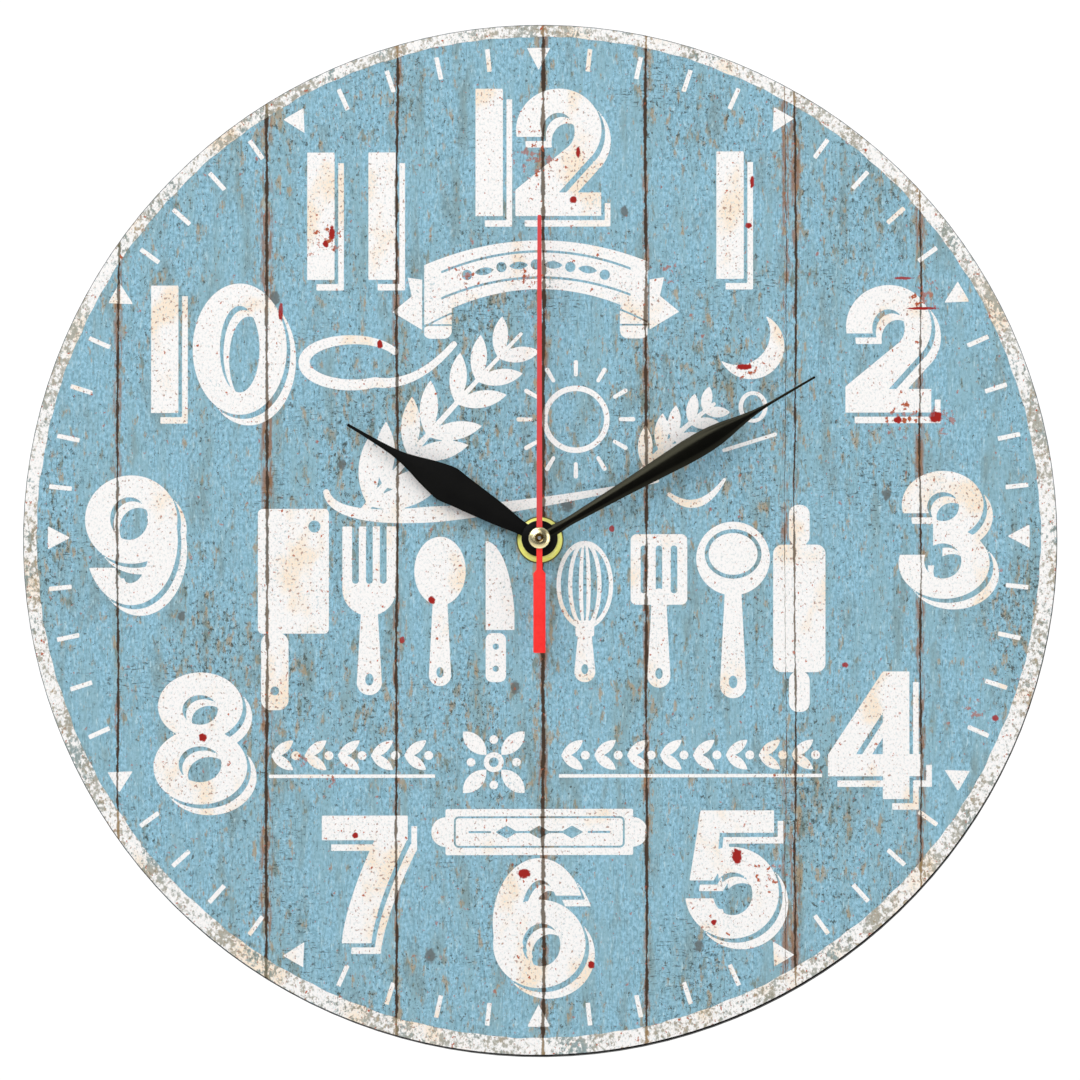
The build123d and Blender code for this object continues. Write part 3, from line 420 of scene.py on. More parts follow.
def underline(x, z):
    """A swelling stroke under the sprigs, from a curl at the left to a thin tail at the right."""
    first = curve_points((-62.0, 14.0), (-60.0, 5.4), (-33.0, 7.4), 14)
    second = curve_points((-33.0, 7.4), (-8.0, 8.6), (34.0, 17.2), 18)
    points = np.concatenate([first, second[1:]])
    widths = np.concatenate([np.linspace(0.9, 2.3, 14), np.linspace(2.3, 0.6, 17)])
    return chain(x, z, points, widths)


def sprig_and_strokes(x, z):
    return join(big_sprig(x, z), lead_in(x, z), underline(x, z))


def radial(centre, angle, radius):
    """A point at a distance from a centre, the angle going round from the right."""
    return centre[0] + radius * cos(angle), centre[1] + radius * sin(angle)


def sun(x, z):
    """A thin hoop and twelve short rays around it."""
    centre = (10.4, 35.1)
    parts = [hoop(x, z, centre, 9.8, 9.8, 1.6, 1.6)]
    for angle in np.arange(12) * pi / 6:
        parts.append(stroke(x, z, radial(centre, angle, 13.0), radial(centre, angle, 16.6), 0.55, 0.65))
    return join(*parts)


def moon(x, z):
    return bowl(x, z, (61.2, 56.4, 9.7, 9.7), (57.4, 60.2, 9.4, 9.4))


def side_scroll(x, z):
    """A small hoop over a short rising rule, to the right of the small sprig."""
    rule = stroke(x, z, (53.4, 26.0), (68.2, 30.6), 0.55, 0.55)
    return join(hoop(x, z, (61.8, 38.6), 4.2, 4.6, 1.3, 1.1), rule)


def border(left, right):
    """A row of leaf pairs and dots between two ends, over a rule."""
    count = max(2, round((right - left) / 9.6))
    step = (right - left) / count

    def field(x, z):
        across = (x - left) % step
        upper = leaf(across, z, (0.7, -63.0), (step - 2.6, -58.2), 1.5)
        lower = leaf(across, z, (0.7, -62.2), (step - 2.6, -66.8), 1.5)
        dot = oval(across, z, (step - 1.9, -62.6), 1.3, 1.3)
        row = common(join(upper, lower, dot), left - x, x - right)
        return join(row, bar(x, z, left, right, -69.1, -68.1))
    return field


def flourish(x, z):
    """Four leaves in a cross about a hoop with a dot between each two, in the middle of the two borders."""
    middle = (-13.4, -64.6)
    parts = [hoop(x, z, middle, 2.9, 2.9, 1.5, 1.5)]
    for quarter in range(4):
        angle = radians(45 + 90 * quarter)
        parts.append(leaf(x, z, radial(middle, angle, 3.1), radial(middle, angle, 12.6), 2.3))
        parts.append(oval(x, z, radial(middle, radians(90 * quarter), 6.6), 1.25, 1.25))
    return join(*parts)


def plaque(x, z):
    """A long plate with stepped round ends, and a frame line, rules and three lozenges left open in it."""
    middle = (-0.2, -84.9)
    u, v = x - middle[0], z - middle[1]
    plate = join(pill(x, z, middle, 27.2, 6.7, 0.5), pill(x, z, middle, 31.3, 4.3, 4.2))
    cuts = [np.abs(pill(x, z, middle, 24.5, 4.3, 1.2)) - 0.28]
    cuts += [np.abs(u - step) / 1.7 + np.abs(v) - 1.9 for step in (-9.5, 0, 9.5)]
    for left, right in ((-7.1, -2.5), (2.4, 7.0), (-20.5, -14.0), (14.0, 20.5)):
        cuts.append(bar(u, v, left, right, -0.3, 0.3))
    return less(plate, *cuts)


def minute_marks(x, z):
    """One radial bar for each minute that is not an hour: the angle is folded into a sixtieth of a turn."""
    turn = np.arctan2(x - PRINT_CENTRE[0], z - PRINT_CENTRE[1])
    radius = np.hypot(x - PRINT_CENTRE[0], z - PRINT_CENTRE[1])
    minute = np.round(turn * 30 / pi)
    side = radius * (turn - minute * pi / 30)
    mark = common(np.abs(side) - 0.66, MINUTE_MARKS[0] - radius, radius - MINUTE_MARKS[1])
    return np.where(np.mod(minute, 5) == 0, 5.0, mark)


def hour_marks(x, z):
    """One triangle for each hour, its point inwards: the angle is folded into a twelfth of a turn."""
    turn = np.arctan2(x - PRINT_CENTRE[0], z - PRINT_CENTRE[1])
    radius = np.hypot(x - PRINT_CENTRE[0], z - PRINT_CENTRE[1])
    side = radius * np.sin(turn - np.round(turn * 6 / pi) * pi / 6)
    return common(0.88 * (np.abs(side) - (radius - HOUR_MARKS[0]) * 0.52), radius - HOUR_MARKS[1])


# ---------------------------------------------------------------- meshes
def new_piece(name, points, faces, material, smooth=False):
    """A mesh object with one material, from rows of points in metres and faces of point numbers."""
    mesh = bpy.data.meshes.new(name)
    mesh.from_pydata(points.tolist(), [], faces)
    mesh.validate()
    mesh.materials.append(material)
    if smooth:
        mesh.shade_smooth()
    piece = bpy.data.objects.new(name, mesh)
    bpy.context.collection.objects.link(piece)
    return piece


def to_body(piece, body):
    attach(piece, body)


def ink_piece(name, x, z, faces, material):
    """A thin sheet of ink from points in mm; it stands off the face and reaches just into it."""
    height = bpy.context.scene.plank_clock.ink_height
    points = np.stack([x * MM, np.full(np.shape(x), FACE_Y - height * MM), z * MM], -1)
    piece = new_piece(name, points.reshape(-1, 3), faces.tolist(), material)
    solid = piece.modifiers.new("ink thickness", "SOLIDIFY")
    solid.thickness = 1.3 * height * MM
    solid.offset = -1
    to_body(piece, BODY)


def printed_sheet(name, field, low, high, material):
    """Flat ink in the shape of a field.

    A square grid keeps the cells whose middle lies inside the field. The corners on its border then move down
    the field's own slope, by the field's value over the slope, until they lie on the outline.
    """
    cell = bpy.context.scene.plank_clock.ink_cell
    across, up = [np.arange(low[axis], high[axis] + cell, cell) for axis in (0, 1)]
    x, z = np.meshgrid(across, up, indexing="ij")
    filled = field(x[:-1, :-1] + cell / 2, z[:-1, :-1] + cell / 2) < 0
    used = np.zeros(x.shape, int)
    for columns in (slice(None, -1), slice(1, None)):
        for rows in (slice(None, -1), slice(1, None)):
            used[columns, rows] += filled
    edge = (used > 0) & (used < 4)
    start_x, start_z = x[edge], z[edge]
    edge_x, edge_z = start_x, start_z
    rounds, probe, reach, least = 5, 0.04, 0.6 * cell, 0.2
    for _ in range(rounds):
        value = field(edge_x, edge_z)
        slope_x = (field(edge_x + probe, edge_z) - field(edge_x - probe, edge_z)) / (2 * probe)
        slope_z = (field(edge_x, edge_z + probe) - field(edge_x, edge_z - probe)) / (2 * probe)
        steepness = np.maximum(slope_x ** 2 + slope_z ** 2, least)
        edge_x = np.clip(edge_x - value * slope_x / steepness, start_x - reach, start_x + reach)
        edge_z = np.clip(edge_z - value * slope_z / steepness, start_z - reach, start_z + reach)
    x[edge], z[edge] = edge_x, edge_z
    number = np.full(x.shape, -1)
    number[used > 0] = np.arange(np.count_nonzero(used))
    corners = np.stack([number[:-1, :-1], number[1:, :-1], number[1:, 1:], number[:-1, 1:]], -1)[filled]
    ink_piece(name, x[used > 0], z[used > 0], corners, material)


def rim_sheet(material):
    """The white band round the edge: a grid from the print's inner circle out to its outer one.

    The print stands a little off the board's middle. Along a direction, its outer circle is at the centre's
    part along it plus the root of (radius squared - the centre's part across it squared), and no farther than
    the board's edge.
    """
    steps, rings = 1440, 5
    turns = np.linspace(0, 2 * pi, steps + 1)[:-1]
    turn, share = np.meshgrid(turns, np.linspace(0, 1, rings), indexing="ij")
    way_x, way_z = np.sin(turn), np.cos(turn)
    inner = BAND_R + (0.16 * np.sin(37 * turn) * np.sin(13.3 * turn) + 0.1 * np.sin(111 * turn))
    inner_x = PRINT_CENTRE[0] + inner * way_x
    inner_z = PRINT_CENTRE[1] + inner * way_z
    along = PRINT_CENTRE[0] * way_x + PRINT_CENTRE[1] * way_z
    across = PRINT_CENTRE[0] * way_z - PRINT_CENTRE[1] * way_x
    outer = np.minimum(BOARD_R - 0.2, along + np.sqrt(PRINT_R ** 2 - across ** 2))
    x = inner_x + (outer * way_x - inner_x) * share
    z = inner_z + (outer * way_z - inner_z) * share
    number = np.arange(x.size).reshape(x.shape)
    after = np.roll(number, -1, 0)
    quads = np.stack([number[:, :-1], number[:, 1:], after[:, 1:], after[:, :-1]], -1).reshape(-1, 4)
    ink_piece("rim_band", x, z, quads, material)


def lathe(profile, steps=96):
    """Points and quads of a closed profile (radius, height) turned about the hands' axis."""
    radius, height = np.array(profile, float).T * MM
    turn = np.linspace(0, 2 * pi, steps + 1)[:-1, None]
    depth = np.broadcast_to(-height, (steps, len(profile)))
    points = np.stack([radius * np.sin(turn), depth, radius * np.cos(turn)], -1)
    number = np.arange(steps * len(profile)).reshape(steps, -1)
    along = np.roll(number, -1, 1)
    quads = np.stack([number, along, np.roll(along, -1, 0), np.roll(number, -1, 0)], -1)
    return points.reshape(-1, 3), quads.reshape(-1, 4).tolist()


def tube(bore, radius, back, front):
    return lathe([(bore, back), (radius, back), (radius, front), (bore, front)])


def hub(bore, radius, back, corner):
    """A flat disc round the axis, with the corners of its outer wall cut off."""
    front = back + corner + 0.38
    return lathe([(bore, back), (radius, back), (radius + 0.15, back + corner), (radius + 0.15, front - 0.12),
                  (radius, front), (bore, front)])


def eased(at, stations):
    """Smooth line through stations (distance, value): cubic pieces that share their slope at a station."""
    place, value = np.array(stations, float).T
    slope = np.gradient(value, place)
    index = np.clip(np.searchsorted(place, at) - 1, 0, len(place) - 2)
    span = place[index + 1] - place[index]
    t = (at - place[index]) / span
    return ((1 + 2 * t) * (1 - t) ** 2 * value[index] + t * (1 - t) ** 2 * span * slope[index]
            + t * t * (3 - 2 * t) * value[index + 1] + t * t * (t - 1) * span * slope[index + 1])


def blade(half_width, distance, back, edge, ridge, sharpness, direction):
    """Points and faces of a pressed hand.

    Each section is flat behind. Its front rises from the edge to a ridge by 1 - (share of the half width to
    the power of the sharpness), and the ridge is lower where the hand is narrow, by the root of its width.
    """
    front_points, back_points = 17, 5
    share = np.concatenate([np.linspace(1, -1, front_points), np.linspace(-1, 1, back_points + 2)[1:-1]])
    front = np.arange(share.size) < front_points
    rise = ridge * (1 - np.abs(share) ** sharpness)
    scale = np.sqrt(half_width / half_width.max())[:, None]
    height = np.where(front, back + edge + rise * scale, back)
    across = share * half_width[:, None]
    along = np.broadcast_to(distance[:, None], across.shape)
    way = (sin(radians(direction)), cos(radians(direction)))
    x = along * way[0] - across * way[1]
    z = along * way[1] + across * way[0]
    points = np.stack([x * MM, -height * MM, z * MM], -1)
    number = np.arange(x.size).reshape(x.shape)
    nxt = np.roll(number, -1, 1)
    quads = np.stack([number[:-1], nxt[:-1], nxt[1:], number[1:]], -1).reshape(-1, 4).tolist()
    caps = [number[0][::-1].tolist(), number[-1].tolist()]
    return points.reshape(-1, 3), quads + caps


def merged(*parts):
    """Several closed surfaces as one list of points and one of faces."""
    points, faces, start = [], [], 0
    for part_points, part_faces in parts:
        points.append(part_points)
        faces += [[corner + start for corner in face] for face in part_faces]
        start += len(part_points)
    return np.concatenate(points), faces


# ---------------------------------------------------------------- node recipes
def plain(colour):
    """A display colour as the linear colour that a shader takes."""
    return tuple(((c + 0.055) / 1.055) ** 2.4 if c > 0.04045 else c / 12.92 for c in colour) + (1.0,)


class Value:
    """An output of a node. Arithmetic with it adds a maths node to the same tree."""

    def __init__(self, recipe, socket):
        self.recipe = recipe
        self.socket = socket

    def __add__(self, other):
        return self.recipe.calc("ADD", self, other)

    def __sub__(self, other):
        return self.recipe.calc("SUBTRACT", self, other)

    def __rsub__(self, other):
        return self.recipe.calc("SUBTRACT", other, self)

    def __mul__(self, other):
        return self.recipe.calc("MULTIPLY", self, other)

    def __truediv__(self, other):
        return self.recipe.calc("DIVIDE", self, other)


class Recipe:
    """Adds nodes to a tree, one call for each. An input is a Value, or a plain number, colour or vector."""

    def __init__(self, tree):
        self.tree = tree
        self.count = 0

    def feed(self, socket, value):
        if isinstance(value, Value):
            self.tree.links.new(value.socket, socket)
        else:
            socket.default_value = value

    def add(self, kind, inputs, output=0, **settings):
        node = self.tree.nodes.new(kind)
        node.location = (self.count % 12 * 190 - 1200, -(self.count // 12) * 260)
        self.count += 1
        for key, value in settings.items():
            setattr(node, key, value)
        for key, value in inputs.items():
            self.feed(node.inputs[key], value)
        return Value(self, node.outputs[output])

    def calc(self, operation, left, right=0.0):
        return self.add("ShaderNodeMath", {0: left, 1: right}, operation=operation)

    def stretch(self, vector, factors, shift=(0, 0, 0)):
        return self.add("ShaderNodeVectorMath", {0: vector, 1: factors, 2: shift}, operation="MULTIPLY_ADD")

    def scaled(self, vector, factor):
        return self.add("ShaderNodeVectorMath", {0: vector, "Scale": factor}, operation="SCALE")

    def millimetres(self, vector):
        return self.stretch(vector, (1000, 1000, 1000))

    def noise(self, vector, detail=2.0, roughness=0.5):
        inputs = {"Vector": vector, "Scale": 1.0, "Detail": detail, "Roughness": roughness}
        return self.add("ShaderNodeTexNoise", inputs)

    def grain(self, vector, factors, shift=(0, 0, 0), detail=2.0, roughness=0.5):
        """Noise whose features are longer along an axis the smaller that axis's factor is."""
        return self.noise(self.stretch(vector, factors, shift), detail, roughness)

    def band(self, value, low, high, bottom=0.0, top=1.0):
        """Eases from bottom to top while the value goes from low to high."""
        inputs = {"Value": value, "From Min": low, "From Max": high, "To Min": bottom, "To Max": top}
        return self.add("ShaderNodeMapRange", inputs, interpolation_type="SMOOTHSTEP")

    def mix(self, share, under, over):
        return self.add("ShaderNodeMix", {0: share, 6: under, 7: over}, 2, data_type="RGBA")

    def parts(self, vector):
        """The x, y and z of a vector."""
        first = self.add("ShaderNodeSeparateXYZ", {0: vector})
        return [Value(self, socket) for socket in first.socket.node.outputs]

    def length(self, across, up):
        return self.calc("SQRT", across * across + up * up)

    def spot(self, x, z, place, tall=1.4):
        """Distance from an upright oval's middle, where 1 is its edge."""
        return self.length((x - place[0]) / place[2], (z - place[1]) / (place[2] * tall))

    def smallest(self, values):
        """The smallest of some distances, and 9 at most."""
        result = 9.0
        for value in values:
            result = self.calc("MINIMUM", result, value)
        return result


def group(name, inputs, outputs):
    """An empty shader node group: its recipe, its inputs by name and its output node."""
    tree = bpy.data.node_groups.new(name, "ShaderNodeTree")
    kinds = {"v": "NodeSocketVector", "c": "NodeSocketColor", "f": "NodeSocketFloat"}
    for sockets, way in ((inputs, "INPUT"), (outputs, "OUTPUT")):
        for socket, kind in sockets.items():
            tree.interface.new_socket(name=socket, in_out=way, socket_type=kinds[kind])
    source = tree.nodes.new("NodeGroupInput")
    result = tree.nodes.new("NodeGroupOutput")
    source.location, result.location = (-1500, 0), (1400, 0)
    recipe = Recipe(tree)
    return recipe, {socket.name: Value(recipe, socket) for socket in source.outputs if socket.name}, result


def place_group(recipe, name, **inputs):
    """A shared group placed in a tree: its outputs by name."""
    node = recipe.tree.nodes.new("ShaderNodeGroup")
    node.node_tree = bpy.data.node_groups[name]
    for key, value in inputs.items():
        recipe.feed(node.inputs[key], value)
    return {socket.name: Value(recipe, socket) for socket in node.outputs}


def make_plank_group():
    """Old painted planks: mottled paint, wear, saw marks, knots, rust and the gaps between the planks."""
    colours = bpy.context.scene.plank_clock
    masks = {"Gap": "f", "Worn": "f", "Rust": "f", "Drop": "f", "Height": "f"}
    r, source, result = group("weathered planks", {"Vector": "v"}, {"Colour": "c", **masks})
    mm = r.millimetres(source["Vector"])
    x, _, z = r.parts(mm)
    lean = r.grain(mm, (0.030, 1, 0.014), (2, 6, 1)) - 0.5
    # paint: fine mottling, then drifts, stains, upright fibres and rubbed streaks
    fine = r.grain(mm, (1.30, 1, 0.80), (0, 0, 0), 4.0, 0.68)
    paint = r.mix(r.band(fine, 0.36, 0.64), colours.paint_dark, colours.paint_light)
    for factors, shift, detail, roughness, low, high, share, colour in (
            ((0.20, 1, 0.03), (7, 0, 3), 3.0, 0.60, 0.42, 0.66, 0.70, colours.paint_grey),
            ((0.15, 1, 0.035), (1, 2, 9), 4.0, 0.62, 0.50, 0.68, 0.42, colours.wood_olive),
            ((1.9, 1, 0.20), (0, 5, 0), 4.0, 0.66, 0.53, 0.67, 0.75, colours.paint_deep),
            ((1.1, 1, 0.26), (3, 9, 0), 4.0, 0.66, 0.55, 0.70, 0.70, colours.paint_pale)):
        tone = r.grain(mm, factors, shift, detail, roughness)
        paint = r.mix(r.band(tone, low, high, 0.0, share), paint, colour)
    # gaps: a nearly straight line for each, its width changing along it
    wander = (r.grain(mm, (0.02, 0, 0.02)) - 0.5) * 1.8
    shake = (r.grain(mm, (0.03, 0, 0.45), (0, 4, 0), 4.0, 0.7) - 0.5) * 0.9
    moved = x + (wander + shake)
    away = [(r.calc("ABSOLUTE", moved - place), width, stain) for place, width, stain in PLANK_GAPS]
    nearest = r.smallest([distance / width for distance, width, _ in away])
    rusty = r.smallest([distance / stain for distance, _, stain in away])
    breadth = r.band(r.grain(mm, (0.05, 0, 0.16), (0, 8, 0), 4.0, 0.65), 0.32, 0.66, 0.30, 1.05)
    gap = r.band(nearest / breadth, 0.5, 1.05, 1.0, 0.0)
    beside = r.band(rusty, 0.8, 4.5, 1.0, 0.0)
    # worn patches: upright flakes, more of them beside the gaps
    flake = r.grain(mm, (0.42, 1, 0.15), (11, 2, 0), 6.0, 0.72)
    worn = r.band(flake + (lean * 0.26 + beside * 0.045), 0.545, 0.625)
    kind = r.band(r.grain(mm, (0.5, 1, 0.16), (0, 3, 5), 3.0), 0.44, 0.60)
    skin = r.mix(worn * 0.66, paint, r.mix(kind, colours.wood_tan, colours.wood_olive))
    # dark specks, deep chips and level saw marks
    speck = r.grain(mm, (1.15, 1, 0.85), (4, 4, 4), 4.0, 0.72) + lean * 0.20
    skin = r.mix(r.band(speck, 0.57, 0.65, 0.0, 0.80), skin, colours.speck)
    chip = r.grain(mm, (0.52, 1, 0.42), (14, 5, 9), 6.0, 0.78) + lean * 0.18
    skin = r.mix(r.band(chip, 0.578, 0.62, 0.0, 0.82), skin, colours.chip)
    saw = r.grain(mm, (0.42, 1, 1.7), (1, 7, 2), 3.0, 0.62)
    where = r.grain(mm, (0.035, 1, 0.035), (8, 1, 5))
    sawn = r.band(saw, 0.555, 0.65) * r.band(where, 0.54, 0.64, 0.0, 0.75)
    skin = r.mix(sawn, skin, colours.speck)
    # rusty sides and dark heart of each gap
    uneven = (r.grain(mm, (0.02, 1, 0.035), (6, 7, 0)) - 0.5) * 0.7
    side = r.grain(mm, (0.9, 1, 0.14), (6, 1, 0), 4.0, 0.68) + uneven
    side = r.band(side, 0.47, 0.60) * r.band(rusty, 0.6, 1.6, 1.0, 0.0)
    skin = r.mix(side * 0.80, skin, colours.gap_edge)
    skin = r.mix(gap, skin, colours.gap_heart)
    # knots, with ragged outlines
    rough = (r.noise(mm) - 0.5) * 1.1
    knot = r.smallest([r.spot(x, z, place) for place in KNOTS])
    skin = r.mix(r.band(knot + rough, 0.62, 1.15, 0.85, 0.0), skin, colours.knot)
    # rust: a thin scatter everywhere, thick near a few places, and single drops
    near = r.smallest([r.spot(x, z, place, 1.0) for place in RUST_CLUSTERS])
    drop = r.smallest([r.spot(x, z, place[:3], place[3]) for place in RUST_DROPS])
    splash = r.grain(mm, (0.58, 1, 0.50), (9, 9, 2), 4.0, 0.62)
    rust = r.band(splash + r.band(near, 0.0, 1.3, 0.13, 0.0), 0.64, 0.675)
    spill = r.band(drop + rough, 0.85, 1.15, 1.0, 0.0)
    skin = r.mix(rust * 0.65, skin, colours.rust)
    skin = r.mix(spill * 0.9, skin, colours.spill)
    height = fine * 0.4 - (gap + worn * 0.4)
    results = {"Colour": skin, "Gap": gap, "Worn": worn, "Rust": rust, "Drop": spill, "Height": height}
    for name, value in results.items():
        r.feed(result.inputs[name], value)


def make_ink_group():
    """Old printing ink over the planks: chips and rubbed places show the paint, and rust sits on top."""
    colours = bpy.context.scene.plank_clock
    r, source, result = group("worn ink", {"Vector": "v", "Under": "c", "Gap": "f", "Rust": "f", "Drop": "f",
                                          "Wear": "f", "Fineness": "f"}, {"Colour": "c", "Cover": "f"})
    mm = r.millimetres(source["Vector"])
    chips = r.grain(r.scaled(mm, source["Fineness"]), (1.2, 1, 1.0), (2, 2, 8), 5.0, 0.72)
    rubbed = r.grain(mm, (0.10, 1, 0.05), (5, 0, 1), 3.0)
    gone = r.band(chips + source["Wear"] + (rubbed - 0.5) * 0.42, 0.61, 0.72, 0.0, 0.9)
    cover = (1.0 - gone) * (1.0 - source["Gap"] * 0.9)
    warm = r.grain(mm, (0.05, 1, 0.035), (1, 3, 4), 3.0, 0.6)
    ink = r.mix(r.band(warm, 0.53, 0.66), colours.ink_white, colours.ink_cream)
    grey = r.grain(mm, (1.7, 1, 1.3), (8, 8, 8), 4.0, 0.68)
    ink = r.mix(r.band(grey, 0.49, 0.66, 0.0, 0.85), ink, colours.ink_grey)
    dots = r.grain(mm, (1.15, 1, 1.0), (5, 2, 7)) + (warm - 0.5) * 0.3
    ink = r.mix(r.band(dots, 0.625, 0.69, 0.0, 0.85), ink, colours.ink_dot)
    shown = r.mix(cover, source["Under"], ink)
    shown = r.mix(source["Rust"], shown, colours.rust)
    shown = r.mix(source["Drop"], shown, colours.spill)
    r.feed(result.inputs["Colour"], shown)
    r.feed(result.inputs["Cover"], cover)


def make_surface_group():
    """Small unevenness for moulded and worked surfaces: a tone mask, a roughness mask and a height."""
    r, source, result = group("fine surface", {"Vector": "v", "Grain": "f", "Along": "v"},
                              {"Tone": "f", "Gloss": "f", "Height": "f"})
    mm = r.millimetres(source["Vector"])
    shaped = r.add("ShaderNodeVectorMath", {0: mm, 1: source["Along"]}, operation="MULTIPLY")
    small = r.noise(r.scaled(shaped, source["Grain"]), 3.0, 0.6)
    broad = r.grain(mm, (0.09, 0.09, 0.09), (0, 0, 0), 3.0, 0.6)
    r.feed(result.inputs["Tone"], r.band(small * 0.5 + broad * 0.5, 0.3, 0.7))
    r.feed(result.inputs["Gloss"], r.band(broad, 0.3, 0.7))
    r.feed(result.inputs["Height"], small)


class Finish(Recipe):
    """A material, with Object coordinates to feed its nodes and, if asked for, its fine surface."""

    def __init__(self, name, grain=None, along=(1, 1, 1)):
        self.material = bpy.data.materials.new(name)
        self.material.use_nodes = True
        super().__init__(self.material.node_tree)
        self.coordinates = self.add("ShaderNodeTexCoord", {}, "Object")
        if grain:
            self.surface = place_group(self, "fine surface", Vector=self.coordinates, Grain=grain,
                                       Along=along)

    def radius(self):
        """Distance from the hands' axis, in mm."""
        x, _, z = self.parts(self.millimetres(self.coordinates))
        return self.length(x, z)

    def gloss(self, low, high):
        return self.band(self.surface["Gloss"], 0.0, 1.0, low, high)

    def tones(self, dark, light):
        return self.mix(self.surface["Tone"], plain(dark), plain(light))

    def bump(self, height, strength, distance):
        return self.add("ShaderNodeBump", {"Height": height, "Strength": strength, "Distance": distance * MM})

    def done(self, colour, roughness, bump=None, **values):
        """Feeds the shader and gives the material; an underscore in a name stands for a space."""
        values.update(Base_Color=colour, Roughness=roughness)
        if bump:
            values["Normal"] = self.bump(*bump)
        for key, value in values.items():
            self.feed(self.material.node_tree.nodes["Principled BSDF"].inputs[key.replace("_", " ")], value)
        return self.material


def plank_material():
    """The printed planks, and the board's black paint where the print doesn't reach."""
    r = Finish("painted planks")
    planks = place_group(r, "weathered planks", Vector=r.coordinates)
    x, _, z = r.parts(r.millimetres(r.coordinates))
    past_print = r.band(r.spot(x, z, (*PRINT_CENTRE, PRINT_R), 1.0), 0.9997, 1.0001)
    return r.done(r.mix(past_print, planks["Colour"], plain((0.03, 0.03, 0.03))),
                  r.band(planks["Worn"], 0.0, 1.0, 0.62, 0.72), (planks["Height"], 0.12, 0.05),
                  Specular_IOR_Level=0.22)


def ink_material(name, wear, soiled=0.15, fineness=1.0):
    """Printed ink: how far it has worn off, how dirty it is there, and how small the chips are."""
    colours = bpy.context.scene.plank_clock
    r = Finish(name)
    planks = place_group(r, "weathered planks", Vector=r.coordinates)
    dirt = r.grain(r.coordinates, (70, 1, 70), (0, 0, 0), 3.0, 0.6)
    dirty = r.mix(r.band(dirt, 0.36, 0.52), colours.wood_olive, colours.wood_tan)
    masks = {mask: planks[mask] for mask in ("Gap", "Rust", "Drop")}
    ink = place_group(r, "worn ink", Vector=r.coordinates, Under=r.mix(soiled, planks["Colour"], dirty),
                      Wear=wear, Fineness=fineness, **masks)
    return r.done(ink["Colour"], r.band(ink["Cover"], 0.0, 1.0, 0.68, 0.58), (planks["Height"], 0.10, 0.05),
                  Specular_IOR_Level=0.22)


def worked_material(name, dark, light, metallic, rough_low, rough_high, grain, along=(1, 1, 1), relief=0.03,
                    strength=0.3, **values):
    """A finish for moulded plastic, plate or turned metal: two tones, a roughness range and a grain."""
    r = Finish(name, grain, along)
    return r.done(r.tones(dark, light), r.gloss(rough_low, rough_high),
                  (r.surface["Height"], strength, relief), Metallic=metallic, **values)


def board_material():
    """Fibreboard: black paint on the edge and just round the back, bare brown fibres inside that."""
    r = Finish("edge-painted fibreboard", 1.4)
    uneven = r.grain(r.coordinates, (260, 260, 260), (0, 0, 0), 3.0, 0.6) * 2.4
    painted = r.band(r.radius() + uneven, BOARD_R - 0.6, BOARD_R + 0.3)
    fibre = r.grain(r.coordinates, (900, 900, 2600), (0, 0, 3), 4.0, 0.7)
    bare = r.mix(r.band(fibre, 0.35, 0.68), plain((0.47, 0.35, 0.24)), plain((0.66, 0.53, 0.39)))
    bare = r.mix(r.band(r.surface["Tone"], 0.4, 0.9, 0.0, 0.35), bare, plain((0.40, 0.29, 0.19)))
    colour = r.mix(painted, bare, r.tones((0.03, 0.03, 0.03), (0.07, 0.068, 0.066)))
    return r.done(colour, r.band(painted, 0.0, 1.0, 0.86, 0.52), (fibre, 0.25, 0.08), Specular_IOR_Level=0.15)


def winding_material():
    """Enamelled wire: fine rings round the spool, with a slightly uneven pitch."""
    r = Finish("copper winding")
    mm = r.millimetres(r.coordinates)
    drift = r.grain(mm, (0.8, 0.8, 0.8)) * 0.25
    pitch = 0.16
    wires = r.calc("SINE", (r.parts(mm)[0] + drift) * (2 * pi / pitch))
    tone = r.grain(mm, (3.0, 0.4, 0.4))
    copper = r.mix(r.band(tone, 0.35, 0.65), plain((0.62, 0.30, 0.16)), plain((0.86, 0.50, 0.28)))
    return r.done(copper, r.band(tone, 0.3, 0.7, 0.28, 0.42), (wires, 0.7, 0.04), Metallic=1.0)


def circuit_material():
    """Green board: solder mask over copper tracks, and tinned pads on a loose grid."""
    r = Finish("green circuit board")
    mm = r.millimetres(r.coordinates)
    wave = {"Vector": r.stretch(mm, (0.9, 0, 1.0)), "Scale": 0.32, "Distortion": 5.0, "Detail": 0.0}
    copper = r.band(r.add("ShaderNodeTexWave", wave, "Fac", bands_direction="DIAGONAL"), 0.55, 0.60)
    cells = {"Vector": r.stretch(mm, (0.55, 0, 0.55)), "Scale": 1.0, "Randomness": 0.35}
    tinned = r.band(r.add("ShaderNodeTexVoronoi", cells, "Distance"), 0.20, 0.23, 1.0, 0.0)
    mask = r.mix(copper, plain((0.02, 0.22, 0.12)), plain((0.07, 0.36, 0.18)))
    return r.done(r.mix(tinned, mask, plain((0.75, 0.76, 0.77))), r.band(tinned, 0.0, 1.0, 0.32, 0.38),
                  (copper, 0.4, 0.04), Metallic=tinned, Coat_Weight=0.2)


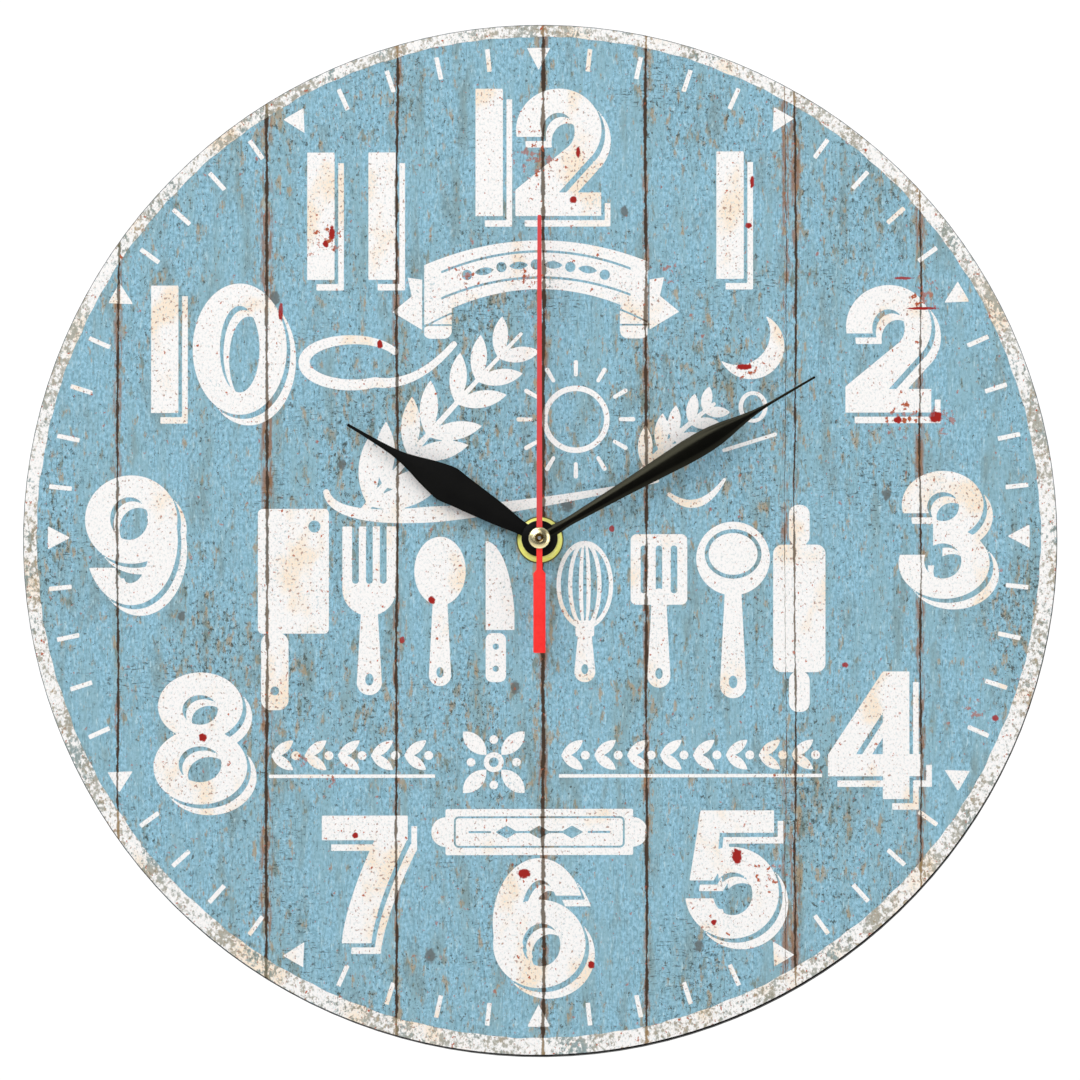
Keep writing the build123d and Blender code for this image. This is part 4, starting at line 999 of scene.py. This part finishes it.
def sleeve_material():
    """Plain battery sleeve: a dark body, a copper-coloured end band and a thin pale line between them."""
    r = Finish("battery sleeve", 2.0)
    x = r.parts(r.millimetres(r.coordinates))[0]
    body = r.tones((0.13, 0.15, 0.18), (0.18, 0.20, 0.24))
    band = r.band(x, 9.8, 10.0)
    line = r.band(x, 9.0, 9.1) * r.band(x, 9.8, 9.9, 1.0, 0.0)
    colour = r.mix(line, r.mix(band, body, plain((0.72, 0.45, 0.22))), plain((0.85, 0.85, 0.83)))
    return r.done(colour, r.gloss(0.26, 0.36), (r.surface["Height"], 0.05, 0.02), Metallic=band * 0.7,
                  Coat_Weight=0.4)


def red_material():
    """Red lacquer: full on the counterweight, a little faded along the pointing end."""
    r = Finish("red second hand", 1.2)
    z = r.parts(r.millimetres(r.coordinates))[2]
    full = r.tones((0.93, 0.15, 0.14), (0.97, 0.20, 0.18))
    colour = r.mix(r.band(z, -6.0, 10.0, 0.0, 0.85), full, plain((0.80, 0.27, 0.28)))
    return r.done(colour, r.gloss(0.38, 0.48), (r.surface["Height"], 0.12, 0.006), Specular_IOR_Level=0.3)


def washer_material():
    """Pale brass with painted shade along its outer rim, so that a thin dark outline shows from the front."""
    r = Finish("brass with painted rim shade", 2.4)
    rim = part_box("brass_washer")[1][0] / MM
    brass = r.tones((0.95, 0.94, 0.50), (1.0, 0.99, 0.62))
    # painted shade: the outer rim is coloured dark olive to stand for the shadow at the washer's edge
    colour = r.mix(r.band(r.radius(), rim - 0.42, rim - 0.26), brass, plain((0.30, 0.31, 0.14)))
    return r.done(colour, r.gloss(0.34, 0.46), (r.surface["Height"], 0.25, 0.006), Metallic=0.10)


def cap_material():
    """Polished pale gold, with painted shade and a painted dark reflection in the dimple in the middle."""
    r = Finish("polished cap", 3.0)
    gold = r.tones((0.90, 0.82, 0.58), (0.99, 0.95, 0.80))
    # painted shade and dark reflection: the dimple in the middle is coloured dark brown
    inside = r.band(r.radius() + r.surface["Height"] * 0.5, 1.3, 1.75, 1.0, 0.0)
    return r.done(r.mix(inside, gold, plain((0.34, 0.25, 0.10))), r.gloss(0.20, 0.30),
                  (r.surface["Height"], 0.2, 0.004), Metallic=1.0)


def finish_nodes(material, *nodes):
    """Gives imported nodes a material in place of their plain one."""
    for node in nodes:
        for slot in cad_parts[node].material_slots:
            slot.material = material


def finish_table(rows):
    """Rows of: name, nodes, dark tone, light tone, metallic, roughness from and to, grain, other settings."""
    for name, nodes, *finish, settings in rows:
        finish_nodes(worked_material(name, *finish, **settings), *nodes)


# ---------------------------------------------------------------- settings
def colour_setting(name, description, display):
    return bpy.props.FloatVectorProperty(name=name, description=description, subtype="COLOR", size=4, min=0,
                                         max=1, default=plain(display))


def length_setting(name, description, value):
    return bpy.props.FloatProperty(name=name, description=description, default=value, min=0.0)


def angle_setting(name, description, degrees):
    return bpy.props.FloatProperty(name=name, description=description, default=radians(degrees),
                                   subtype="ANGLE")


class PlankClockSettings(bpy.types.PropertyGroup):
    """Sizes in millimetres and colours of the face, the hands and the stage."""
    paint_dark: colour_setting("Paint, dark", "Darker tone of the mottled paint", (0.448, 0.622, 0.692))
    paint_light: colour_setting("Paint, light", "Lighter tone of the mottled paint", (0.605, 0.78, 0.86))
    paint_grey: colour_setting("Paint, greyed", "Tone of the broad drifts", (0.53, 0.675, 0.72))
    paint_deep: colour_setting("Paint, deep", "Tone of the upright fibres", (0.36, 0.50, 0.54))
    paint_pale: colour_setting("Paint, pale", "Tone of the rubbed streaks", (0.73, 0.84, 0.87))
    wood_tan: colour_setting("Wood, tan", "Warm tone of the worn wood", (0.67, 0.55, 0.36))
    wood_olive: colour_setting("Wood, olive", "Cool tone of the worn wood", (0.42, 0.43, 0.34))
    speck: colour_setting("Specks", "Dark specks and saw marks", (0.18, 0.235, 0.235))
    chip: colour_setting("Chips", "Deep chips in the paint", (0.22, 0.235, 0.19))
    gap_edge: colour_setting("Gap edge", "Rusty edge of a gap between planks", (0.56, 0.38, 0.24))
    gap_heart: colour_setting("Gap heart", "Dark heart of a gap between planks", (0.24, 0.18, 0.13))
    knot: colour_setting("Knots", "Colour of the knots", (0.36, 0.37, 0.36))
    rust: colour_setting("Rust", "Rust spots", (0.67, 0.33, 0.20))
    spill: colour_setting("Rust drops", "Deep rust drops", (0.60, 0.09, 0.06))
    ink_white: colour_setting("Ink, white", "Clean ink", (0.948, 0.938, 0.932))
    ink_cream: colour_setting("Ink, cream", "Yellowed ink", (0.945, 0.88, 0.80))
    ink_dot: colour_setting("Ink, dots", "Brown dots in the ink", (0.62, 0.47, 0.40))
    ink_grey: colour_setting("Ink, grey", "Grain of the ink", (0.80, 0.83, 0.835))
    ink_cell: length_setting("Ink cell", "Grid of the printed shapes, mm", 0.36)
    ink_height: length_setting("Ink height", "How far the ink stands off the face, mm", 0.04)
    shadow_shift: length_setting("Shadow shift", "How far a numeral's shadow line is moved, mm", 2.7)
    shadow_gap: length_setting("Shadow gap", "Bare line between a numeral and its shadow, mm", 1.05)
    hour_ridge: length_setting("Hour hand ridge", "Rise of the hour hand's pressed ridge, mm", 0.42)
    minute_ridge: length_setting("Minute hand ridge", "Rise of the minute hand's pressed ridge, mm", 0.60)
    view_width: length_setting("View width", "Width that the camera shows at the face, mm", 313.2)
    lens: length_setting("Lens", "Focal length of the camera, mm", 1500.0)
    azimuth: angle_setting("Azimuth", "Camera's turn to the right", 1.3)
    elevation: angle_setting("Elevation", "Camera's height angle", -4.5)


# ---------------------------------------------------------------- operators
class CLOCK_OT_patterns(bpy.types.Operator):
    """Makes the shared node groups that the finishes are built from"""
    bl_idname = "clock.patterns"
    bl_label = "Shared patterns"

    def execute(self, context):
        make_plank_group()
        make_ink_group()
        make_surface_group()
        return {"FINISHED"}


class CLOCK_OT_face(bpy.types.Operator):
    """Paints the planks and prints the rim, the minute marks and the hour marks"""
    bl_idname = "clock.face"
    bl_label = "Plank face and marks"

    def execute(self, context):
        finish_nodes(plank_material(), "dial_print")
        rim_sheet(ink_material("worn rim ink", 0.135, 0.60, 0.6))
        mark_ink = ink_material("worn mark ink", 0.0)
        low, high = (-143.5, -143.5), (143.5, 143.5)
        printed_sheet("minute_marks", minute_marks, low, high, mark_ink)
        printed_sheet("hour_marks", hour_marks, low, high, mark_ink)
        return {"FINISHED"}


class CLOCK_OT_numerals(bpy.types.Operator):
    """Prints the twelve numerals, each with its shadow line"""
    bl_idname = "clock.numerals"
    bl_label = "Numerals"

    def execute(self, context):
        sizes = context.scene.plank_clock
        ink = ink_material("worn numeral ink", -0.015)
        for hour, digits in NUMERALS.items():
            def shape(x, z, digits=digits):
                return join(*[digit(x - across, z - up) for digit, across, up in digits])
            places = np.array([(across, up) for _, across, up in digits])
            field = with_shadow(shape, sizes.shadow_shift, sizes.shadow_gap)
            printed_sheet(f"numeral_{hour}", field, places.min(0) - (16, 24), places.max(0) + (19, 21), ink)
        return {"FINISHED"}


class CLOCK_OT_ornaments(bpy.types.Operator):
    """Prints the ribbon, the herb sprigs, the sun, the moon and the lower ornaments"""
    bl_idname = "clock.ornaments"
    bl_label = "Ornaments"

    def execute(self, context):
        ink = ink_material("worn ornament ink", -0.005)
        pieces = (
            ("ribbon", ribbon, (-45, 58), (43, 89)),
            ("sprig_and_strokes", sprig_and_strokes, (-72, 1), (38, 74)),
            ("small_sprig", small_sprig, (24, 12), (62, 54)),
            ("swash", swash, (34, 5), (57, 20)),
            ("sun_mark", sun, (-9, 15), (30, 55)),
            ("moon_mark", moon, (49, 45), (73, 69)),
            ("side_scroll", side_scroll, (50, 24), (72, 45)),
            ("left_border", border(-78.6, -30.4), (-80, -71), (-29, -56)),
            ("right_border", border(5.5, 81.8), (4, -71), (84, -56)),
            ("middle_flourish", flourish, (-27, -79), (0, -50)),
            ("plaque", plaque, (-34, -94), (34, -76)),
        )
        for name, field, low, high in pieces:
            printed_sheet(name, field, low, high, ink)
        return {"FINISHED"}


class CLOCK_OT_tools_row(bpy.types.Operator):
    """Prints the row of kitchen tools across the middle"""
    bl_idname = "clock.tools_row"
    bl_label = "Row of kitchen tools"

    def execute(self, context):
        ink = ink_material("worn tool ink", 0.0)
        for shape, middle in TOOLS:
            field = tool_in_row(shape, middle)
            printed_sheet(f"{shape.__name__}_mark", field, (middle - 16, -54), (middle + 16, 16), ink)
        return {"FINISHED"}


class CLOCK_OT_hands(bpy.types.Operator):
    """Presses the hour and minute hands and stamps the second hand"""
    bl_idname = "clock.hands"
    bl_label = "Hands"

    def execute(self, context):
        sizes = context.scene.plank_clock
        paint = {"relief": 0.004, "strength": 0.1}
        black = worked_material("black hour hand", (0.03, 0.03, 0.03), (0.045, 0.045, 0.04), 0.0, 0.42, 0.50,
                                1.2, Specular_IOR_Level=0.08, **paint)
        satin = worked_material("satin minute hand", (0.03, 0.03, 0.026), (0.045, 0.045, 0.038), 0.0, 0.15,
                                0.20, 1.2, Specular_IOR_Level=0.20, Specular_Tint=(0.92, 0.90, 0.62, 1.0),
                                **paint)
        # hour hand: a leaf, its hub and the collar behind that
        collar_h, hour_bore, minute_bore = 0.6, 2.58, 1.78
        back = -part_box("hour_hand")[1][1] / MM + collar_h
        stations = ((0, 1.75), (6.4, 2.05), (13, 3.15), (20.3, 4.1), (27, 4.85), (31.5, 5.35), (34.4, 4.85),
                    (38.9, 3.7), (43.5, 2.3), (48, 1.3), (52, 0.9), (58, 0.62), (65, 0.42))
        reach = np.linspace(0, stations[-1][0], 120)
        pressed = blade(eased(reach, stations), reach, back, 0.28, sizes.hour_ridge, 1.7, -59.1)
        collar = tube(hour_bore, 3.2, back - collar_h, back + 0.1)
        surfaces = merged(pressed, hub(hour_bore, 5.0, back, 0.12), collar)
        self.place(new_piece("hour_hand_pressed", *surfaces, black), "hour", "hour_hand", "hand_black")
        # minute hand: a long leaf in satin, with the hub in plain black
        back = -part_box("minute_hand")[1][1] / MM
        stations = ((0, 1.75), (5.4, 1.65), (8.7, 1.38), (15.7, 1.6), (29.6, 2.25), (41.2, 2.95), (52, 3.5),
                    (57.4, 3.35), (61.5, 2.85), (66.7, 1.8), (71.3, 1.0), (76, 0.52), (84, 0.42),
                    (92.6, 0.34))
        reach = np.linspace(0, stations[-1][0], 170)
        pressed = blade(eased(reach, stations), reach, back, 0.22, sizes.minute_ridge, 3.0, 59.6)
        disc = hub(minute_bore, 5.1, back, 0.14)
        piece = new_piece("minute_hand_pressed", *merged(pressed, disc), satin)
        piece.data.materials.append(black)
        piece.data.polygons.foreach_set("material_index", [0] * len(pressed[1]) + [1] * len(disc[1]))
        self.place(piece, "minute", "minute_hand", "hand_black")
        # second hand: a wide counterweight, a neck and a long needle, all flat
        back = -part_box("second_hand")[1][1] / MM
        reach = np.array([-33.4, -33.1, -10.3, -9.2, 0.0, 93.5, 94.0])
        half = np.array([1.6, 1.8, 1.8, 0.9, 0.88, 0.6, 0.4])
        surfaces = merged(blade(half, reach, back, 0.34, 0.05, 6.0, 0.0), tube(0.92, 2.6, back, back + 0.36))
        piece = new_piece("second_hand_stamped", *surfaces, red_material())
        self.place(piece, "second", "second_hand", "hand_red")
        return {"FINISHED"}

    def place(self, piece, body, node, slot):
        piece.data.shade_smooth()
        soften = piece.modifiers.new("soft edges", "BEVEL")
        soften.width = 0.05 * MM
        soften.segments = 2
        soften.limit_method = "ANGLE"
        soften.angle_limit = radians(40)
        to_body(piece, body)
        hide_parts(node)


class CLOCK_OT_cap(bpy.types.Operator):
    """Turns the polished cap that holds the second hand"""
    bl_idname = "clock.cap"
    bl_label = "Second hand cap"

    def execute(self, context):
        low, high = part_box("second_hand_boss")
        top = -low[1] / MM
        back = -high[1] / MM
        seat = back + 0.6
        turn = np.linspace(0, pi / 2, 13)
        dome = [(1.05 + 2.1 * cos(a), seat + 0.3 + (top - seat - 0.3) * sin(a)) for a in turn]
        dish = [(0.95, top - 0.08), (0.85, top - 0.30), (0.55, top - 0.34)]
        profile = [(0.52, back), (0.88, back), (0.88, seat), (3.0, seat), (3.15, seat + 0.12)] + dome + dish
        profile.append((0.52, top - 0.34))
        piece = new_piece("second_hand_cap", *lathe(profile), cap_material(), smooth=True)
        to_body(piece, "second")
        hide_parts("second_hand_boss")
        return {"FINISHED"}


class CLOCK_OT_fittings(bpy.types.Operator):
    """Finishes the board, the washers, the nut, the stem and the hanger plate"""
    bl_idname = "clock.fittings"
    bl_label = "Board and fittings"

    def execute(self, context):
        finish_nodes(board_material(), "dial_board")
        finish_nodes(washer_material(), "brass_washer")
        finish_table((
            ("turned brass", ("brass_nut", "threaded_stem"),
             (0.95, 0.94, 0.50), (1.0, 0.99, 0.62), 0.10, 0.34, 0.46, 2.4,
             {"relief": 0.006, "strength": 0.25}),
            ("black rubber", ("rubber_washer",),
             (0.03, 0.03, 0.03), (0.07, 0.07, 0.07), 0.0, 0.72, 0.85, 2.5, {}),
            ("zinc-plated steel",
             ("hanger_plate", "positive_contact", "negative_contact", "clutch_spring", "seconds_arbor"),
             (0.66, 0.67, 0.68), (0.80, 0.81, 0.82), 1.0, 0.28, 0.44, 1.6,
             {"along": (0.12, 1, 2.2), "relief": 0.01}),
        ))
        return {"FINISHED"}


class CLOCK_OT_movement(bpy.types.Operator):
    """Finishes the movement's case, plates, wheels, motor and circuit"""
    bl_idname = "clock.movement"
    bl_label = "Movement"

    def execute(self, context):
        finish_table((
            ("spark-textured black plastic", ("movement_case", "rear_cover"),
             (0.05, 0.05, 0.052), (0.085, 0.085, 0.09), 0.0, 0.50, 0.62, 5.0,
             {"strength": 0.5, "Specular_IOR_Level": 0.4}),
            ("natural acetal",
             ("middle_plate", "coil_bobbin", "seconds_wheel", "third_wheel", "fifth_wheel", "centre_wheel",
              "cannon_pinion", "hour_wheel", "motion_wheel", "rotor_pinion"),
             (0.86, 0.85, 0.80), (0.93, 0.92, 0.88), 0.0, 0.34, 0.46, 1.5,
             {"relief": 0.01, "Subsurface_Weight": 0.08}),
            ("grey plastic", ("setting_knob", "setting_gear"),
             (0.44, 0.45, 0.47), (0.52, 0.53, 0.55), 0.0, 0.40, 0.52, 3.0, {"relief": 0.02}),
            ("annealed iron", ("stator", "coil_core"),
             (0.40, 0.39, 0.38), (0.55, 0.54, 0.52), 1.0, 0.38, 0.55, 1.2, {"relief": 0.01}),
            ("sintered magnet", ("rotor_magnet",),
             (0.12, 0.12, 0.13), (0.20, 0.20, 0.21), 0.6, 0.45, 0.6, 4.0, {}),
            ("black resin", ("chip_blob",),
             (0.02, 0.02, 0.02), (0.05, 0.05, 0.05), 0.0, 0.16, 0.26, 0.8, {"relief": 0.01}),
            ("plated can", ("quartz_crystal", "battery_cell"),
             (0.78, 0.79, 0.80), (0.90, 0.90, 0.91), 1.0, 0.16, 0.28, 2.0,
             {"along": (2.2, 0.2, 0.2), "relief": 0.006}),
        ))
        finish_nodes(winding_material(), "coil_winding")
        finish_nodes(circuit_material(), "circuit_board")
        finish_nodes(sleeve_material(), "battery_sleeve")
        return {"FINISHED"}


class CLOCK_OT_stage(bpy.types.Operator):
    """Sets up the pale floor, the soft light and the camera"""
    bl_idname = "clock.stage"
    bl_label = "Stage"

    def execute(self, context):
        sizes = context.scene.plank_clock
        self.floor()
        self.world(context)
        self.lamp("key_light", (-0.9, -1.3, 1.25), 1.3, 20.4)
        self.lamp("glint_light", (-0.34, -1.6, 0.58), 0.5, 3.8)
        self.lamp("fill_light", (1.3, -1.3, 0.1), 1.3, 9.8)
        self.lamp("back_light", (0.4, 1.3, 0.8), 1.2, 12.0)
        target = Vector((0, FACE_Y, 0))
        camera_data = bpy.data.cameras.new("camera")
        camera_data.lens = sizes.lens
        camera_data.sensor_width = 36.0
        camera_data.clip_start = 0.5
        camera_data.clip_end = 100.0
        distance = sizes.view_width * MM * sizes.lens / camera_data.sensor_width
        level = cos(sizes.elevation)
        way = Vector((sin(sizes.azimuth) * level, -cos(sizes.azimuth) * level, sin(sizes.elevation)))
        camera = bpy.data.objects.new("camera", camera_data)
        camera.location = target + way * distance
        camera.rotation_euler = way.to_track_quat("Z", "Y").to_euler()
        context.collection.objects.link(camera)
        context.scene.camera = camera
        context.scene.view_settings.view_transform = "Standard"
        return {"FINISHED"}

    def floor(self):
        half, level = 4.0, -0.9
        corners = ((-half, -half), (half, -half), (half, half), (-half, half))
        points = np.array([(*corner, level) for corner in corners])
        r = Finish("pale floor")
        tone = r.grain(r.coordinates, (3, 3, 3))
        colour = r.mix(tone, plain((0.955, 0.955, 0.955)), plain((0.975, 0.975, 0.97)))
        material = r.done(colour, 0.8)
        new_piece("floor", points, [[0, 1, 2, 3]], material)

    def world(self, context):
        """Soft white surroundings: dim ahead of the face, brighter at its sides, brightest behind it."""
        world = bpy.data.worlds.new("studio")
        world.use_nodes = True
        tree = world.node_tree
        r = Recipe(tree)
        depth = r.parts(r.add("ShaderNodeTexCoord", {}, "Generated"))[1]
        light = r.band(depth, -1.0, -0.35, 0.05, 0.54) + r.band(depth, 0.0, 0.35, 0.0, 0.46)
        seen = r.add("ShaderNodeLightPath", {}, "Is Camera Ray")
        backdrop = 1.05
        strength = r.add("ShaderNodeMix", {"Factor": seen, "A": light, "B": backdrop})
        background = tree.nodes["Background"]
        r.feed(background.inputs["Strength"], strength)
        r.feed(background.inputs["Color"], (1, 1, 1, 1))
        context.scene.world = world

    def lamp(self, name, place, size, power):
        lamp = bpy.data.lights.new(name, "AREA")
        lamp.size = size
        lamp.energy = power
        lamp_object = bpy.data.objects.new(name, lamp)
        lamp_object.location = place
        lamp_object.rotation_euler = Vector(place).to_track_quat("Z", "Y").to_euler()
        bpy.context.collection.objects.link(lamp_object)


class CLOCK_PT_panel(bpy.types.Panel):
    """Lists the settings and the steps in the 3D view's sidebar"""
    bl_label = "Plank clock"
    bl_idname = "CLOCK_PT_panel"
    bl_space_type = "VIEW_3D"
    bl_region_type = "UI"
    bl_category = "Plank clock"

    def draw(self, context):
        for setting in PlankClockSettings.__annotations__:
            self.layout.prop(context.scene.plank_clock, setting)
        for step in STEPS:
            self.layout.operator(step.bl_idname)


STEPS = (CLOCK_OT_patterns, CLOCK_OT_face, CLOCK_OT_numerals, CLOCK_OT_ornaments, CLOCK_OT_tools_row,
         CLOCK_OT_hands, CLOCK_OT_cap, CLOCK_OT_fittings, CLOCK_OT_movement, CLOCK_OT_stage)


def register():
    for one_class in (PlankClockSettings, *STEPS, CLOCK_PT_panel):
        bpy.utils.register_class(one_class)
    bpy.types.Scene.plank_clock = bpy.props.PointerProperty(type=PlankClockSettings)


def unregister():
    del bpy.types.Scene.plank_clock
    for one_class in (CLOCK_PT_panel, *reversed(STEPS), PlankClockSettings):
        bpy.utils.unregister_class(one_class)


def main():
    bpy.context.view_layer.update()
    register()
    bpy.ops.clock.patterns()
    bpy.ops.clock.face()
    bpy.ops.clock.numerals()
    bpy.ops.clock.ornaments()
    bpy.ops.clock.tools_row()
    bpy.ops.clock.hands()
    bpy.ops.clock.cap()
    bpy.ops.clock.fittings()
    bpy.ops.clock.movement()
    bpy.ops.clock.stage()


if __name__ == "__main__":
    main()
